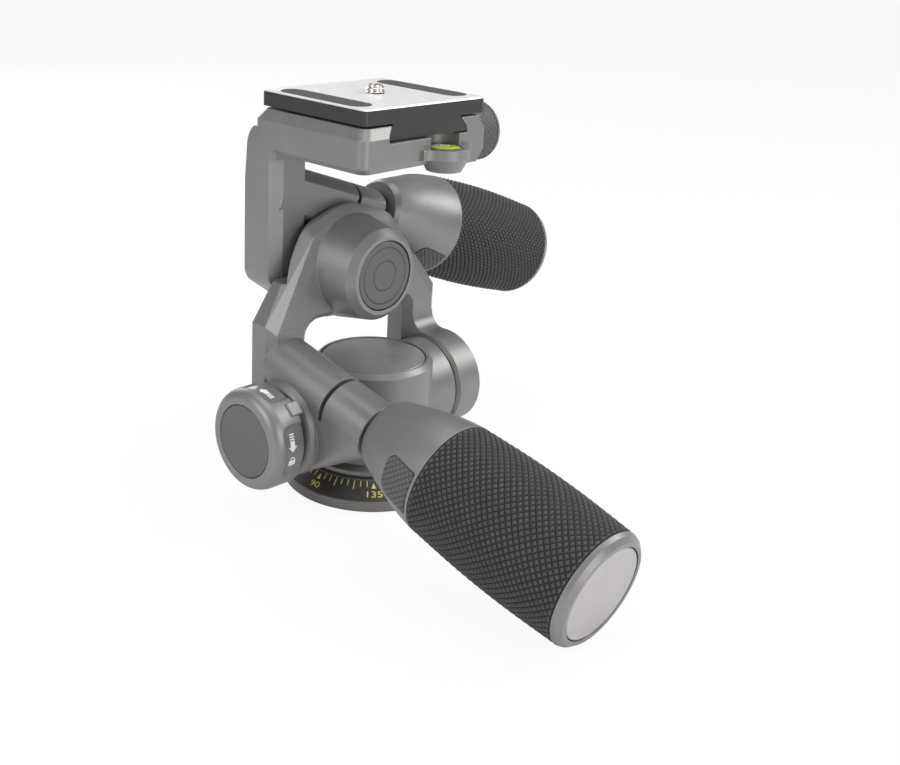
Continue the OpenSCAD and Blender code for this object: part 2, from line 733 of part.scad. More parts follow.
module bracket() {
    rear_tee = rear_rise * cos(rear_droop);
    color(cast) difference() {
        union() {
            intersection() {
                arm_body();
                side_profile();
            }
            table_body();
            // lobe under the bubble level
            translate([level_x, level_y, table_bottom - 2.4])
                cylinder(r1 = lobe_r - 2.4, r2 = lobe_r, h = 4.4);
            translate([0, 0, table_bottom + 2 - eps])
                linear_extrude(level_z - table_bottom - 2 + eps) lobe_shape();
            // round clamp lug across the lower end
            rear_frame() translate([lug_drop, 0, -26]) rotate_extrude()
                polygon([[0, 0], [lug_r, 0], [lug_r, rear_reach + 25.6], [lug_r - 0.4, rear_reach + 26],
                    [0, rear_reach + 26]]);
            hull() {
                rear_frame() translate([lug_drop, 0, 2])
                    cylinder(r = lug_r - 0.6, h = rear_reach - 10, $fn = hull_fn);
                along_y(arm_end_r - 5, arm_front + 1, arm_back - 1);
            }
        }
        channel();
        along_y(bush_out_r + seat_gap, arm_front - 1, arm_back + 1);
        along_y(axle_r + 3.6, arm_back - 3.2, arm_back + 1);
        rear_frame() {
            translate([-lug_r - 1, -30, rear_slit - slit_w / 2]) cube([rear_tee + lug_r + 1, 60, slit_w]);
            translate([0, 0, -18]) cylinder(r = stud_r + run_gap, h = rear_reach + 30);
        }
        // well of the bubble level and the round pocket above its shelf
        translate([level_x, level_y, level_z - level_well]) cylinder(r = level_r + 1.1 + seat_gap, h = 30);
        translate([level_x, level_y, level_z]) cylinder(r = lobe_r - 1.1, h = 30);
        // jaw screw, guide pins and springs
        translate([table_side - 24, jaw_mid_y, jaw_screw_z]) rotate([0, 90, 0])
            cylinder(r = jaw_screw_r + run_gap, h = 30);
        for (side = [-1, 1]) translate([table_side - 12, jaw_mid_y + side * jaw_l * 0.33, jaw_screw_z])
            rotate([0, 90, 0]) {
                cylinder(r = 1.5 + run_gap, h = 20);
                translate([0, 0, 6]) cylinder(r = 2.3, h = 20);
            }
        translate([-60, yoke_back - 3, roll_z - 60])
            cube([120, arm_gap + 3, 60 + table_bottom - roll_z - 1]);
        translate([-arm_out + arm_w, yoke_back - 20, roll_z - 60])
            cube([90, arm_gap + 20, 60 + rear_rise + 12]);
    }
}

module roll_bush() {
    color(pale) difference() {
        along_y(bush_out_r, arm_front + 0.4, arm_back - 3.6);
        along_y(axle_r + run_gap, arm_front - 1, arm_back);
    }
}

module level_cup() {
    color(dark) translate([level_x, level_y, level_z - level_well + seat_gap]) difference() {
        cylinder(r = level_r + 1.1, h = level_well + 0.2);
        translate([0, 0, 1]) cylinder(r = level_r, h = level_well);
    }
}

module level_fluid() {
    color("#b8d42a") translate([level_x, level_y, level_z - level_well + 1 + 2 * seat_gap])
        cylinder(r = level_r - seat_gap, h = level_well - 1.6);
}

module level_lens() {
    color("#dff0a0") translate([level_x, level_y, level_z - 0.45]) rotate_extrude()
        polygon([[0, 0], [level_r - seat_gap, 0], [level_r - seat_gap, 0.5], [level_r * 0.6, 0.8], [0, 0.9]]);
}

// ---- sliding jaw and its knob ----

module jaw() {
    jaw_slant = min(dove_slant, table_z - 0.4 - lip_z);
    jaw_lip_x = dove_half - jaw_slant + clamp_gap;
    color(cast) difference() {
        translate([0, jaw_mid_y + jaw_l / 2, 0]) rotate([90, 0, 0]) linear_extrude(jaw_l)
            polygon([[jaw_lip_x, lip_z + jaw_slant], [jaw_lip_x, table_z - 0.1],
                [jaw_out_x - 3, table_z - 0.1],
                [jaw_out_x, table_z - 4.4], [jaw_out_x, table_bottom + 2.6],
                [jaw_out_x - 3.2, table_bottom - 1.6],
                [jaw_x, table_bottom - 1.6], [jaw_x, lip_z - 1], [dove_half + clamp_gap, lip_z - 1],
                [dove_half + clamp_gap, lip_z]]);
        translate([table_side - 5, jaw_mid_y, jaw_screw_z]) rotate([0, 90, 0])
            cylinder(r = jaw_screw_r + 0.35, h = 30);
        for (side = [-1, 1]) translate([table_side - 5, jaw_mid_y + side * jaw_l * 0.33, jaw_screw_z])
            rotate([0, 90, 0]) cylinder(r = 1.5 + seat_gap, h = 5 + jaw_t - 2);
    }
}

module jaw_pins() {
    color(steel) for (side = [-1, 1])
        translate([table_side - 8, jaw_mid_y + side * jaw_l * 0.33, jaw_screw_z])
            rotate([0, 90, 0]) cylinder(r = 1.5, h = 8 + jaw_t - 2.2);
}

// The two jaw springs, as plain sleeves round the pins
module jaw_springs() {
    color(steel) for (side = [-1, 1])
        translate([table_side - 5.8, jaw_mid_y + side * jaw_l * 0.33, jaw_screw_z])
            rotate([0, 90, 0]) ring(2.2, 1.65, 5.8);
}

clamp_x = jaw_out_x + 0.3;

module clamp_knob() {
    color(cast) translate([clamp_x, jaw_mid_y, jaw_screw_z]) rotate([0, 90, 0]) difference() {
        rotate_extrude() polygon([[0, 0], [6.2, 0], [6.2, 1.6], [clamp_knob_r - 1.6, 2.4],
            [clamp_knob_r - 1.6, clamp_knob_l - 1.6], [clamp_knob_r - 0.2, clamp_knob_l - 1.5],
            [clamp_knob_r - 0.9, clamp_knob_l], [0, clamp_knob_l]]);
        translate([0, 0, -1]) cylinder(r = jaw_screw_r + seat_gap, h = clamp_knob_l - 3);
        translate([0, 0, clamp_knob_l - 0.8]) cylinder(r = clamp_knob_r - 3.4, h = 2);
    }
}

module clamp_knob_grip() {
    color(dark) translate([clamp_x + 2.45, jaw_mid_y, jaw_screw_z]) rotate([0, 90, 0]) difference() {
        rotate_extrude() polygon([[clamp_knob_r - 1.55, 0], [clamp_knob_r - 0.7, 0], [clamp_knob_r, 0.8],
            [clamp_knob_r, clamp_knob_l - 4.9], [clamp_knob_r - 0.4, clamp_knob_l - 4.1],
            [clamp_knob_r - 1.55, clamp_knob_l - 4.1]]);
    }
}

module clamp_screw() {
    color(steel) translate([table_side - 20, jaw_mid_y, jaw_screw_z]) rotate([0, 90, 0])
        cylinder(r = jaw_screw_r, h = 20 + clamp_gap + jaw_t + clamp_knob_l - 5);
}

// ---- quick release plate ----

plate_corner_r = 1.6;

plate_edge = 0.5;

module plate_bar(l, w) {
    translate([0, w / 2, plate_z]) rotate([90, 0, 0]) linear_extrude(w)
        polygon([[-l / 2, 0], [l / 2, 0], [l / 2, plate_t - plate_edge], [l / 2 - plate_edge, plate_t],
            [-l / 2 + plate_edge, plate_t], [-l / 2, plate_t - plate_edge]]);
}

// Flange with round corners and a small chamfer along its top edge
module plate_flange() {
    plate_bar(plate_l, plate_w - 2 * plate_corner_r);
    rotate(90) plate_bar(plate_w, plate_l - 2 * plate_corner_r);
    for (x = [-1, 1]) for (y = [-1, 1])
        translate([x * (plate_l / 2 - plate_corner_r), y * (plate_w / 2 - plate_corner_r), plate_z])
            rotate_extrude() polygon([[0, 0], [plate_corner_r, 0], [plate_corner_r, plate_t - plate_edge],
                [plate_corner_r - plate_edge, plate_t], [0, plate_t]]);
}

strip_x = plate_l / 2 - strip_w / 2 - 1.3;

module strip_shape(s) {
    for (x = [-strip_x, strip_x]) translate([x, 0]) {
        square([strip_w - 2 * s, strip_l - strip_w], center = true);
        for (y = [-1, 1]) translate([0, y * (strip_l - strip_w) / 2]) circle(r = strip_w / 2 - s);
    }
}

module plate() {
    color(dark) translate([0, plate_back, 0]) difference() {
        union() {
            plate_flange();
            translate([0, plate_w / 2, 0]) rotate([90, 0, 0]) linear_extrude(plate_w)
                polygon([[-dove_half, plate_z - dovetail_h], [dove_half, plate_z - dovetail_h],
                    [dove_half, plate_z - dovetail_h + dove_lip],
                    [dove_half - dove_slant, plate_z - dovetail_h + dove_lip + dove_slant],
                    [dove_half - dove_slant, plate_z + eps], [-dove_half + dove_slant, plate_z + eps],
                    [-dove_half + dove_slant, plate_z - dovetail_h + dove_lip + dove_slant],
                    [-dove_half, plate_z - dovetail_h + dove_lip]]);
        }
        translate([0, 0, plate_top - 0.9]) linear_extrude(2) strip_shape(0);
        translate([0, 0, plate_z - dovetail_h - 1]) {
            cylinder(r = screw_r + run_gap * 2, h = 30);
            cylinder(r = 8.6, h = 5.2);
        }
        for (y = [-1, 1]) translate([0, y * (plate_w / 2 - 4.5), plate_z - dovetail_h - 1])
            cylinder(r = 1.6, h = 5);
    }
}

module plate_strips() {
    color(rubber) translate([0, plate_back, plate_top - 0.9]) linear_extrude(1.15) strip_shape(seat_gap);
}

module plate_stops() {
    color(steel) translate([0, plate_back, plate_z - dovetail_h]) for (y = [-1, 1])
        translate([0, y * (plate_w / 2 - 4.5), 0.05]) cylinder(r = 1.55, h = 3.9);
}

module camera_screw() {
    color(steel) translate([0, plate_back, 0]) difference() {
        union() {
            translate([0, 0, plate_z - dovetail_h + 0.4]) cylinder(r = 8.1, h = 3.4);
            translate([0, 0, plate_z - dovetail_h + 3.7])
                cylinder(r = screw_r - 0.5, h = plate_t + dovetail_h - 3.5);
            translate([0, 0, plate_top]) cylinder(r = screw_r, h = screw_out - 0.6 + eps);
            translate([0, 0, plate_top + screw_out - 0.6])
                cylinder(r1 = screw_r, r2 = screw_r - 0.6, h = 0.6);
        }
        translate([-9, -0.8, plate_z - dovetail_h - 1]) cube([18, 1.6, 3]);
    }
}

// ---- handles: each runs along +Z from the end of its clamp lug ----

collar_steps = 14;
function collar_at(t) = collar_r + 1.4 + (grip_r - collar_r - 1.4) * (0.62 * sin(90 * t) + 0.38 * t);

module collar_profile(grow) {
    rotate_extrude() polygon(concat([[0, 0], [collar_r + grow, 0]],
        [for (i = [0:collar_steps]) let (t = i / collar_steps)
            [collar_at(t) + grow, 1.8 + (collar_l - 1.8) * t]],
        [[0, collar_l]]));
}

// Outline of the two ribbed tabs that run back from the grip's edge
tab_w = 14.2;
tab_l = 13.2;
tab_corner = 3.6;
tab_rim = 1.1;

module tab_prism(s) {
    for (turn = [0, 180]) rotate(turn) translate([0, 0, collar_l]) rotate([90, 0, 0])
        linear_extrude(grip_r + 4) {
            translate([-tab_w / 2 + s, -tab_l + tab_corner])
                square([tab_w - 2 * s, tab_l - tab_corner - tab_rim - s]);
            translate([-tab_w / 2 + tab_corner, -tab_l + s]) square([tab_w - 2 * tab_corner, tab_corner]);
            for (side = [-1, 1]) translate([side * (tab_w / 2 - tab_corner), -tab_l + tab_corner])
                circle(r = tab_corner - s);
        }
}

stud_reach = 26;

module handle_stud(inside) {
    color(steel) translate([0, 0, -inside]) cylinder(r = stud_r, h = inside + neck_gap + stud_reach);
    color(steel) translate([0, 0, 0.3]) ring(6.4, stud_r - eps, neck_gap - 0.6);
}

module handle_collar() {
    color(cast) translate([0, 0, neck_gap]) difference() {
        collar_profile(0);
        translate([0, 0, -1]) cylinder(r = stud_r + seat_gap, h = collar_l + 2);
        difference() {
            tab_prism(0);
            collar_profile(-1.4);
        }
        translate([0, 0, collar_l - 6]) cylinder(r = grip_r - rubber_t - 2.4, h = 10);
    }
}

module handle_tabs() {
    color(rubber) translate([0, 0, neck_gap]) intersection() {
        difference() {
            collar_profile(0.25);
            collar_profile(-1.4);
        }
        tab_prism(0.15);
    }
}

module handle_core() {
    color(steel) translate([0, 0, neck_gap + collar_l]) difference() {
        cylinder(r = grip_r - rubber_t, h = grip_l);
        translate([0, 0, -1]) cylinder(r = grip_r - rubber_t - 2.2, h = grip_l + 2);
    }
}

module handle_grip() {
    color(rubber) translate([0, 0, neck_gap + collar_l]) difference() {
        rotate_extrude() polygon(concat([[0, 0], [grip_r - 0.4, 0]],
            [for (i = [0:12]) let (t = i / 12)
                [grip_r + grip_swell * sin(180 * t), 0.4 + (grip_l - 0.8) * t]],
            [[grip_r - 0.4, grip_l], [0, grip_l]]));
        translate([0, 0, -1]) cylinder(r = grip_r - rubber_t + seat_gap, h = grip_l + 2);
    }
}

module handle_end_ring() {
    color(cast) translate([0, 0, neck_gap + collar_l + grip_l]) difference() {
        rotate_extrude() polygon([[0, 0], [grip_r - 0.4, 0], [grip_r, 0.4], [grip_r - 0.5, end_l - 1.4],
            [grip_r - 2, end_l], [0, end_l]]);
        translate([0, 0, end_l - 1.5]) cylinder(r = disc_r + 0.35, h = 5);
        translate([0, 0, -1]) cylinder(r = disc_r - 2.5, h = 9);
    }
}

module handle_end_disc() {
    color(pale) translate([0, 0, neck_gap + collar_l + grip_l + end_l - 1.5]) rotate_extrude()
        polygon([[0, 0], [disc_r, 0], [disc_r, 1.1], [disc_r - 0.3, 1.4], [0, 1.4]]);
}

// Where the tabs sit round each handle
front_turn = 88.5;
rear_turn = 53.5;

module on_front() {
    front_frame() translate([0, 0, front_reach]) rotate(front_turn) children();
}

module on_rear() {
    rear_frame() translate([0, 0, rear_reach]) rotate(rear_turn) children();
}

module front_stud() on_front() handle_stud(front_reach + 2);
module front_collar() on_front() handle_collar();
module front_tabs() on_front() handle_tabs();
module front_core() on_front() handle_core();
module front_grip() on_front() handle_grip();
module front_end_ring() on_front() handle_end_ring();
module front_end_disc() on_front() handle_end_disc();
module rear_stud() on_rear() handle_stud(rear_reach + 12);
module rear_collar() on_rear() handle_collar();
module rear_tabs() on_rear() handle_tabs();
module rear_core() on_rear() handle_core();
module rear_grip() on_rear() handle_grip();
module rear_end_ring() on_rear() handle_end_ring();
module rear_end_disc() on_rear() handle_end_disc();

base();
scale_ring();
tripod_bush();
base_screws();
pan_spindle();
pan_washer();
disc_washer();
spindle_nut();
pan_housing();
housing_cap();
tilt_axle();
brake_shoe();
tilt_pin();
yoke();
tilt_bush();
ear_bush();
ear_washer();
ear_screw();
ear_cover();
roll_axle();
boss_cap();
roll_washer();
roll_screw();
pan_knob();
pan_knob_cap();
pan_lock_screw();
bracket();
roll_bush();
level_cup();
level_fluid();
level_lens();
jaw();
jaw_pins();
jaw_springs();
clamp_knob();
clamp_knob_grip();
clamp_screw();
plate();
plate_strips();
plate_stops();
camera_screw();
front_stud();
front_collar();
front_tabs();
front_core();
front_grip();
front_end_ring();
front_end_disc();
rear_stud();
rear_collar();
rear_tabs();
rear_core();
rear_grip();
rear_end_ring();
rear_end_disc();
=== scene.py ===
"""Looks of a three way pan tilt head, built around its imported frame."""

import json
import math

import bpy
import bmesh
import numpy as np
from mathutils import Matrix, Vector


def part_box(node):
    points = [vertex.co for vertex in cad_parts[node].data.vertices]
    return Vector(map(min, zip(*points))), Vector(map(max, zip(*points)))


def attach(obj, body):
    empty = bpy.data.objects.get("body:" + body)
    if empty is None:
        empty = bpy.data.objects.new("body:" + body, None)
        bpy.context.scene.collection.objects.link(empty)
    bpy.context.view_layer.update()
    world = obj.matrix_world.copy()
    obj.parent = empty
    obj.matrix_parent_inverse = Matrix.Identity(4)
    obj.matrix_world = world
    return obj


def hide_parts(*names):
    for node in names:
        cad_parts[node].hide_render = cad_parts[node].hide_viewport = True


bl_info = {
    "name": "Pan Tilt Head Looks",
    "version": (1, 0, 0),
    "blender": (4, 5, 0),
    "location": "View3D > Sidebar > Head",
    "description": "Finishes, grips, marks and stage of a three way pan tilt head",
    "category": "Object",
}

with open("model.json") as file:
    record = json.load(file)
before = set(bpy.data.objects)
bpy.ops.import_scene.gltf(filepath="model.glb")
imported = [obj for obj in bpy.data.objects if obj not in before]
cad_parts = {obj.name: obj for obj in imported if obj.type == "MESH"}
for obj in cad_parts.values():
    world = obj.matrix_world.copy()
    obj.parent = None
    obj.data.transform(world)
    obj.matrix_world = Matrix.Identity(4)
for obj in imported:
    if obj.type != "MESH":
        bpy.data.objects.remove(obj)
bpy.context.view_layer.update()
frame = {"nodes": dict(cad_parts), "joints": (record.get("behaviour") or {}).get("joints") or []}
JOINT = {j["name"]: j for j in frame["joints"]}

MM = 0.001
WHITE = (1, 1, 1, 1)
FULL_TURN = 2 * math.pi
# how far the handles are turned about their own axes, in degrees
HANDLE_TURN = {"front": 88.5, "rear": 53.5}
# printed marks stand this far out of and into the surface they lie on
MARK_OUT, MARK_IN = 0.00006, 0.00004
# the base's slope: height of its foot, radius of its top, and mean radius of its ticks
BASE_RIM, SLOPE_TOP_R, TICK_RING = 0.0035, 0.024, 0.0265
# half the width of a degree tick
TICK = 0.00017
# the scale's numerals: letter size, sideways stretch, mean radius and foot on the slope
NUMERAL_SIZE, NUMERAL_WIDTH, NUMERAL_RING, NUMERAL_FOOT = 0.0031, 1.35, 0.0275, 0.0021
# mesh columns in one diamond of a ribbed grip
KNURL_FINE = 6
# the pan knob's pointer, and where the prints in the pockets beside it start
POINTER_ANGLE, PRINT_START = math.radians(134), (math.radians(159), math.radians(111))
# the plate's rubber strips: half width, rib pitch, rib depth and rounded rim
STRIP_HALF_W, STRIP_PITCH, STRIP_DEPTH, STRIP_RIM = 0.0045, 0.00125, 0.00022, 0.0003
# photo's camera: place in metres, turns in degrees, then lens and shift
CAMERA_PLACE = (-0.29309, -0.29076, 0.19730)
CAMERA_YAW, CAMERA_PITCH, CAMERA_ROLL = 47.71, 17.10, 2.94
CAMERA_LENS, CAMERA_SENSOR = 50.61, 36
CAMERA_SHIFT = (0.0235, -0.1046)
# lamps: name, place, side of the square and power
LAMPS = (
    ("key_light", (0.75, -0.45, 0.65), 0.5, 5.5),
    ("left_light", (-0.75, 0.05, 0.45), 0.5, 3.6),
    ("top_light", (0.1, 0.0, 0.85), 0.6, 3.4),
    ("front_light", (-0.1, -0.9, 0.3), 0.5, 3.6),
    ("back_light", (0.35, 0.9, 0.4), 0.5, 2.4),
)
LAMP_TARGET = Vector((0, 0, 0.07))
WORLD_LIGHT = 0.26
# share of the floor's look that is plain white to the camera
FLOOR_GLOW = 0.93
FLOOR_HALF, FLOOR_DROP = 6, 0.2 * MM


# ---------------------------------------------------------------- shader helpers

class Sock:
    """A shader socket that takes part in Python arithmetic."""

    def __init__(self, mat, out):
        self.mat, self.out = mat, out

    def _math(self, op, a, b=None):
        ins = {0: a} if b is None else {0: a, 1: b}
        return self.mat.node("ShaderNodeMath", {"operation": op}, ins)

    def __add__(self, o):
        return self._math("ADD", self, o)

    def __radd__(self, o):
        return self._math("ADD", o, self)

    def __sub__(self, o):
        return self._math("SUBTRACT", self, o)

    def __rsub__(self, o):
        return self._math("SUBTRACT", o, self)

    def __mul__(self, o):
        return self._math("MULTIPLY", self, o)

    def __rmul__(self, o):
        return self._math("MULTIPLY", o, self)

    def __gt__(self, o):
        return self._math("GREATER_THAN", self, o)

    def fn(self, op, o=None):
        """Any other Math operation."""
        return self._math(op, self, o)

    def ramp(self, lo, hi, to_lo=0.0, to_hi=1.0):
        """Clamped straight ramp from lo to hi."""
        return self.mat.node("ShaderNodeMapRange", {"clamp": True},
                             {0: self, 1: lo, 2: hi, 3: to_lo, 4: to_hi})


class Finish:
    """A material with one Principled shader and short ways to add nodes."""

    def __init__(self, name, **constants):
        self.material = bpy.data.materials.new(name)
        self.material.use_nodes = True
        self.tree = self.material.node_tree
        self.shader = next(n for n in self.tree.nodes if n.type == "BSDF_PRINCIPLED")
        for key, value in constants.items():
            self.shader.inputs[key.replace("_", " ")].default_value = value

    def node(self, kind, settings=None, inputs=None, output=0):
        """Any node: its type, its settings, the values or links of its sockets, and the output taken."""
        n = self.tree.nodes.new(kind)
        for key, value in (settings or {}).items():
            setattr(n, key, value)
        for key, value in (inputs or {}).items():
            if isinstance(value, Sock):
                self.tree.links.new(value.out, n.inputs[key])
            else:
                n.inputs[key].default_value = value
        return Sock(self, n.outputs[output])

    def feed(self, name, value):
        """Link a value to one of the shader's own sockets."""
        self.tree.links.new(value.out, self.shader.inputs[name])

    def coords(self):
        """Object coordinates, in metres."""
        return self.node("ShaderNodeTexCoord", output=3)

    def noise(self, scale, detail=3.0, rough=0.55):
        """Noise over the surface; scale is in cells a metre."""
        return self.node("ShaderNodeTexNoise", {}, {"Vector": self.coords(), "Scale": scale,
                                                    "Detail": detail, "Roughness": rough})

    def mix(self, factor, a, b):
        """One colour into another."""
        n = self.tree.nodes.new("ShaderNodeMix")
        n.data_type = "RGBA"
        for i, value in ((0, factor), (6, a), (7, b)):
            if isinstance(value, Sock):
                self.tree.links.new(value.out, n.inputs[i])
            elif i == 0:
                n.inputs[i].default_value = value
            else:
                n.inputs[i].default_value = (*value, 1)
        return Sock(self, n.outputs[2])

    def split(self, vector):
        """The three parts of a vector."""
        n = self.tree.nodes.new("ShaderNodeSeparateXYZ")
        self.tree.links.new(vector.out, n.inputs[0])
        return [Sock(self, n.outputs[i]) for i in range(3)]

    def edge_normal(self, radius):
        """Rounded edge highlight."""
        return self.node("ShaderNodeBevel", {"samples": 6}, {"Radius": radius})

    def edge_mask(self, radius):
        """One on outer edges, which are paled as wear and as a painted highlight, nought on open faces."""
        bevel = self.edge_normal(radius)
        geo = self.node("ShaderNodeNewGeometry", output=1)
        dot = self.node("ShaderNodeVectorMath", {"operation": "DOT_PRODUCT"}, {0: bevel, 1: geo}, 1)
        return (1.0 - dot).ramp(0.01, 0.12)

    def bump(self, height, strength, distance, normal=None):
        """Relief of a height, over the plain normal or another."""
        ins = {"Height": height, "Strength": strength, "Distance": distance}
        if normal is not None:
            ins["Normal"] = normal
        self.feed("Normal", self.node("ShaderNodeBump", {}, ins))


FINISHES = {}


def local_frame(finish, matrix):
    """Coordinates of a piece's own axes inside a material."""
    at = finish.coords()
    inverse = matrix.inverted()
    rows = []
    for row in range(3):
        d = finish.node("ShaderNodeVectorMath", {"operation": "DOT_PRODUCT"},
                        {0: at, 1: tuple(inverse[row][:3])}, 1)
        rows.append(d + inverse[row][3])
    return rows


def shade(colour, share):
    """A colour times a share, no part over one."""
    return [min(1, c * share) for c in colour]


def cast_metal(name, colour, rough=0.4):
    """Fine coat on cast metal, its outer edges paler as wear and as a painted highlight."""
    f = Finish(name, Metallic=0.45, Specular_IOR_Level=0.5)
    sparkle = f.noise(5200, 2, 0.7)
    cloud = f.noise(55, 4, 0.6)
    base = f.mix(cloud.ramp(0.3, 0.7), shade(colour, 0.93), shade(colour, 1.06))
    base = f.mix(sparkle.ramp(0.52, 0.72) * 0.4, base, shade(colour, 1.9))
    # outer edges lightened: partly wear, partly a painted highlight along them
    f.feed("Base Color", f.mix(f.edge_mask(0.00045) * 0.35, base, shade(colour, 1.8)))
    f.feed("Roughness", cloud.ramp(0.2, 0.8, rough - 0.04, rough + 0.05))
    f.bump(f.noise(3400, 3, 0.6), 0.22, 0.00006, f.edge_normal(0.0004))
    return f.material


def ringed_disc(name, colour, centre):
    """Dark inset disc with two fine turned rings round the roll axis."""
    f = Finish(name, Metallic=0.45)
    x, y, z = f.split(f.coords())
    r = ((x - centre[0]) * (x - centre[0]) + (z - centre[2]) * (z - centre[2])).fn("SQRT")
    ring = None
    for radius in (0.0098, 0.0052):
        line = (r - radius).fn("ABSOLUTE").ramp(0.0001, 0.0003, 1.0, 0.0)
        ring = line if ring is None else ring.fn("MAXIMUM", line)
    cloud = f.noise(90, 4, 0.6)
    base = f.mix(cloud.ramp(0.3, 0.7), shade(colour, 0.92), shade(colour, 1.06))
    f.feed("Base Color", f.mix(ring, base, shade(colour, 0.4)))
    f.feed("Roughness", cloud.ramp(0.2, 0.8, 0.34, 0.42))
    f.bump(1.0 - ring + f.noise(3400, 3, 0.6) * 0.1, 0.6, 0.00015, f.edge_normal(0.0004))
    return f.material


def plain_metal(name, colour, rough, metallic=1.0, lines=0.0, axis=None):
    """Turned or brushed metal with fine circular lines about an axis."""
    f = Finish(name, Metallic=metallic)
    smudge = f.noise(140, 4, 0.6)
    f.feed("Base Color", f.mix(smudge.ramp(0.3, 0.75), shade(colour, 0.92), shade(colour, 1.04)))
    f.feed("Roughness", smudge.ramp(0.2, 0.8, rough * 0.85, rough * 1.2))
    if lines and axis is not None:
        x, y, z = local_frame(f, axis)
        r = (x * x + y * y).fn("SQRT")
        at = f.node("ShaderNodeCombineXYZ", {}, {0: r * 9000.0, 1: z * 9000.0})
        grooves = f.node("ShaderNodeTexNoise", {}, {"Vector": at, "Scale": 1.0, "Detail": 2.0})
        f.bump(grooves, lines, 0.00003, f.edge_normal(0.00025))
    else:
        f.bump(f.noise(2600, 2, 0.5), 0.12, 0.00003, f.edge_normal(0.00025))
    return f.material


def rubber_finish(name, colour, specular=0.42, dull=0.0):
    """Plain rubber or plastic; dull adds roughness."""
    f = Finish(name, Metallic=0.0, Specular_IOR_Level=specular)
    dust = f.noise(420, 5, 0.65)
    f.feed("Base Color", f.mix(dust.ramp(0.35, 0.75), shade(colour, 0.86), shade(colour, 1.18)))
    f.feed("Roughness", dust.ramp(0.2, 0.8, 0.5 + dull, 0.62 + dull))
    f.bump(f.noise(5200, 3, 0.6), 0.25, 0.00005)
    return f.material


def knurl_mask(f, theta, h, around, pitch, low=0.45):
    """Two crossed families of grooves, one on the grooves."""
    u = theta * (around / FULL_TURN) + h * (1.0 / pitch)
    v = theta * (around / FULL_TURN) - h * (1.0 / pitch)
    grooves = None
    for w in (u, v):
        d = ((w.fn("FRACT") - 0.5).fn("ABSOLUTE") * 2.0).ramp(low, 1.0)
        grooves = d if grooves is None else grooves.fn("MAXIMUM", d)
    return grooves


def tab_finish(name, colour, matrix):
    """Ribbed rubber of a handle's tabs, with a painted highlight on the ribs and painted shade in the
    grooves.
    """
    f = Finish(name, Metallic=0.0, Specular_IOR_Level=0.42)
    x, y, z = local_frame(f, matrix)
    mask = knurl_mask(f, y.fn("ARCTAN2", x), z, 52, 0.0021)
    # painted light: ribs lightened as a highlight, grooves darkened as shade
    f.feed("Base Color", f.mix(mask, shade(colour, 1.7), shade(colour, 0.8)))
    f.feed("Roughness", mask.ramp(0.0, 1.0, 0.48, 0.7))
    f.bump(1.0 - mask, 0.8, 0.0003)
    return f.material


def grip_finish(name, colour, matrix, start, around, pitch):
    """Rubber of a grip, with painted shade in the grooves between its diamonds."""
    f = Finish(name, Metallic=0.0, Specular_IOR_Level=0.3)
    x, y, z = local_frame(f, matrix)
    mask = knurl_mask(f, y.fn("ARCTAN2", x), z - start, around, pitch, 0.5)
    dust = f.noise(420, 5, 0.65)
    skin = f.mix(dust.ramp(0.35, 0.75), shade(colour, 0.85), shade(colour, 1.2))
    # painted shade: the grooves darkened to a fifth of the rubber's colour
    f.feed("Base Color", f.mix(mask, skin, shade(colour, 0.22)))
    f.feed("Roughness", dust.ramp(0.2, 0.8, 0.5, 0.6) + mask * 0.25)
    f.bump(f.noise(5200, 3, 0.6), 0.2, 0.00005)
    return f.material


def paint_finish(name, colour):
    """Printed marks."""
    f = Finish(name, Metallic=0.0)
    f.feed("Base Color", f.mix(f.noise(900, 2).ramp(0.35, 0.8), colour, shade(colour, 0.86)))
    f.shader.inputs["Roughness"].default_value = 0.5
    return f.material


# ---------------------------------------------------------------- mesh helpers

def mesh_object(name, verts, faces, material=None, smooth=True):
    """A new object from points and faces."""
    mesh = bpy.data.meshes.new(name)
    mesh.from_pydata([tuple(v) for v in verts], [], [tuple(f) for f in faces])
    mesh.validate()
    if smooth:
        mesh.polygons.foreach_set("use_smooth", [True] * len(mesh.polygons))
    obj = bpy.data.objects.new(name, mesh)
    bpy.context.scene.collection.objects.link(obj)
    if material:
        mesh.materials.append(material)
    return obj


def sheet(name, grid, closed_u, material):
    """Mesh over a grid of points, grid[row][column][xyz]; closed_u joins the columns."""
    grid = np.asarray(grid, float)
    rows, cols = grid.shape[:2]
    index = np.arange(rows * cols).reshape(rows, cols)
    right = np.roll(index, -1, axis=1) if closed_u else index[:, 1:]
    left = index if closed_u else index[:, :-1]
    faces = np.stack([left[:-1], right[:-1], right[1:], left[1:]], -1).reshape(-1, 4)
    return mesh_object(name, grid.reshape(-1, 3), faces, material)


def moved(points, matrix):
    """Points put through a matrix."""
    m = np.array(matrix)
    return np.asarray(points, float) @ m[:3, :3].T + m[:3, 3]


def soften(obj, angle):
    """Smooth shading with creases kept."""
    obj.data.set_sharp_from_angle(angle=math.radians(angle))


def face_outward(obj, weld=0.0):
    """Turn every face outward, after joining points closer than weld."""
    bm = bmesh.new()
    bm.from_mesh(obj.data)
    if weld:
        bmesh.ops.remove_doubles(bm, verts=bm.verts[:], dist=weld)
    bmesh.ops.recalc_face_normals(bm, faces=bm.faces[:])
    bm.to_mesh(obj.data)
    bm.free()


def rings_of(theta):
    """A function that gives one ring of points from its radii and height."""
    return lambda rad, h: np.stack([rad * np.cos(theta), rad * np.sin(theta), np.full_like(theta, h)], -1)


def diamond(columns, row, fine):
    """Distance from a diamond's middle, one on its edges, for each column of a row."""
    u = ((columns + row) % fine) / fine
    v = ((columns - row) % fine) / fine
    return np.maximum(np.abs(u - 0.5), np.abs(v - 0.5)) * 2


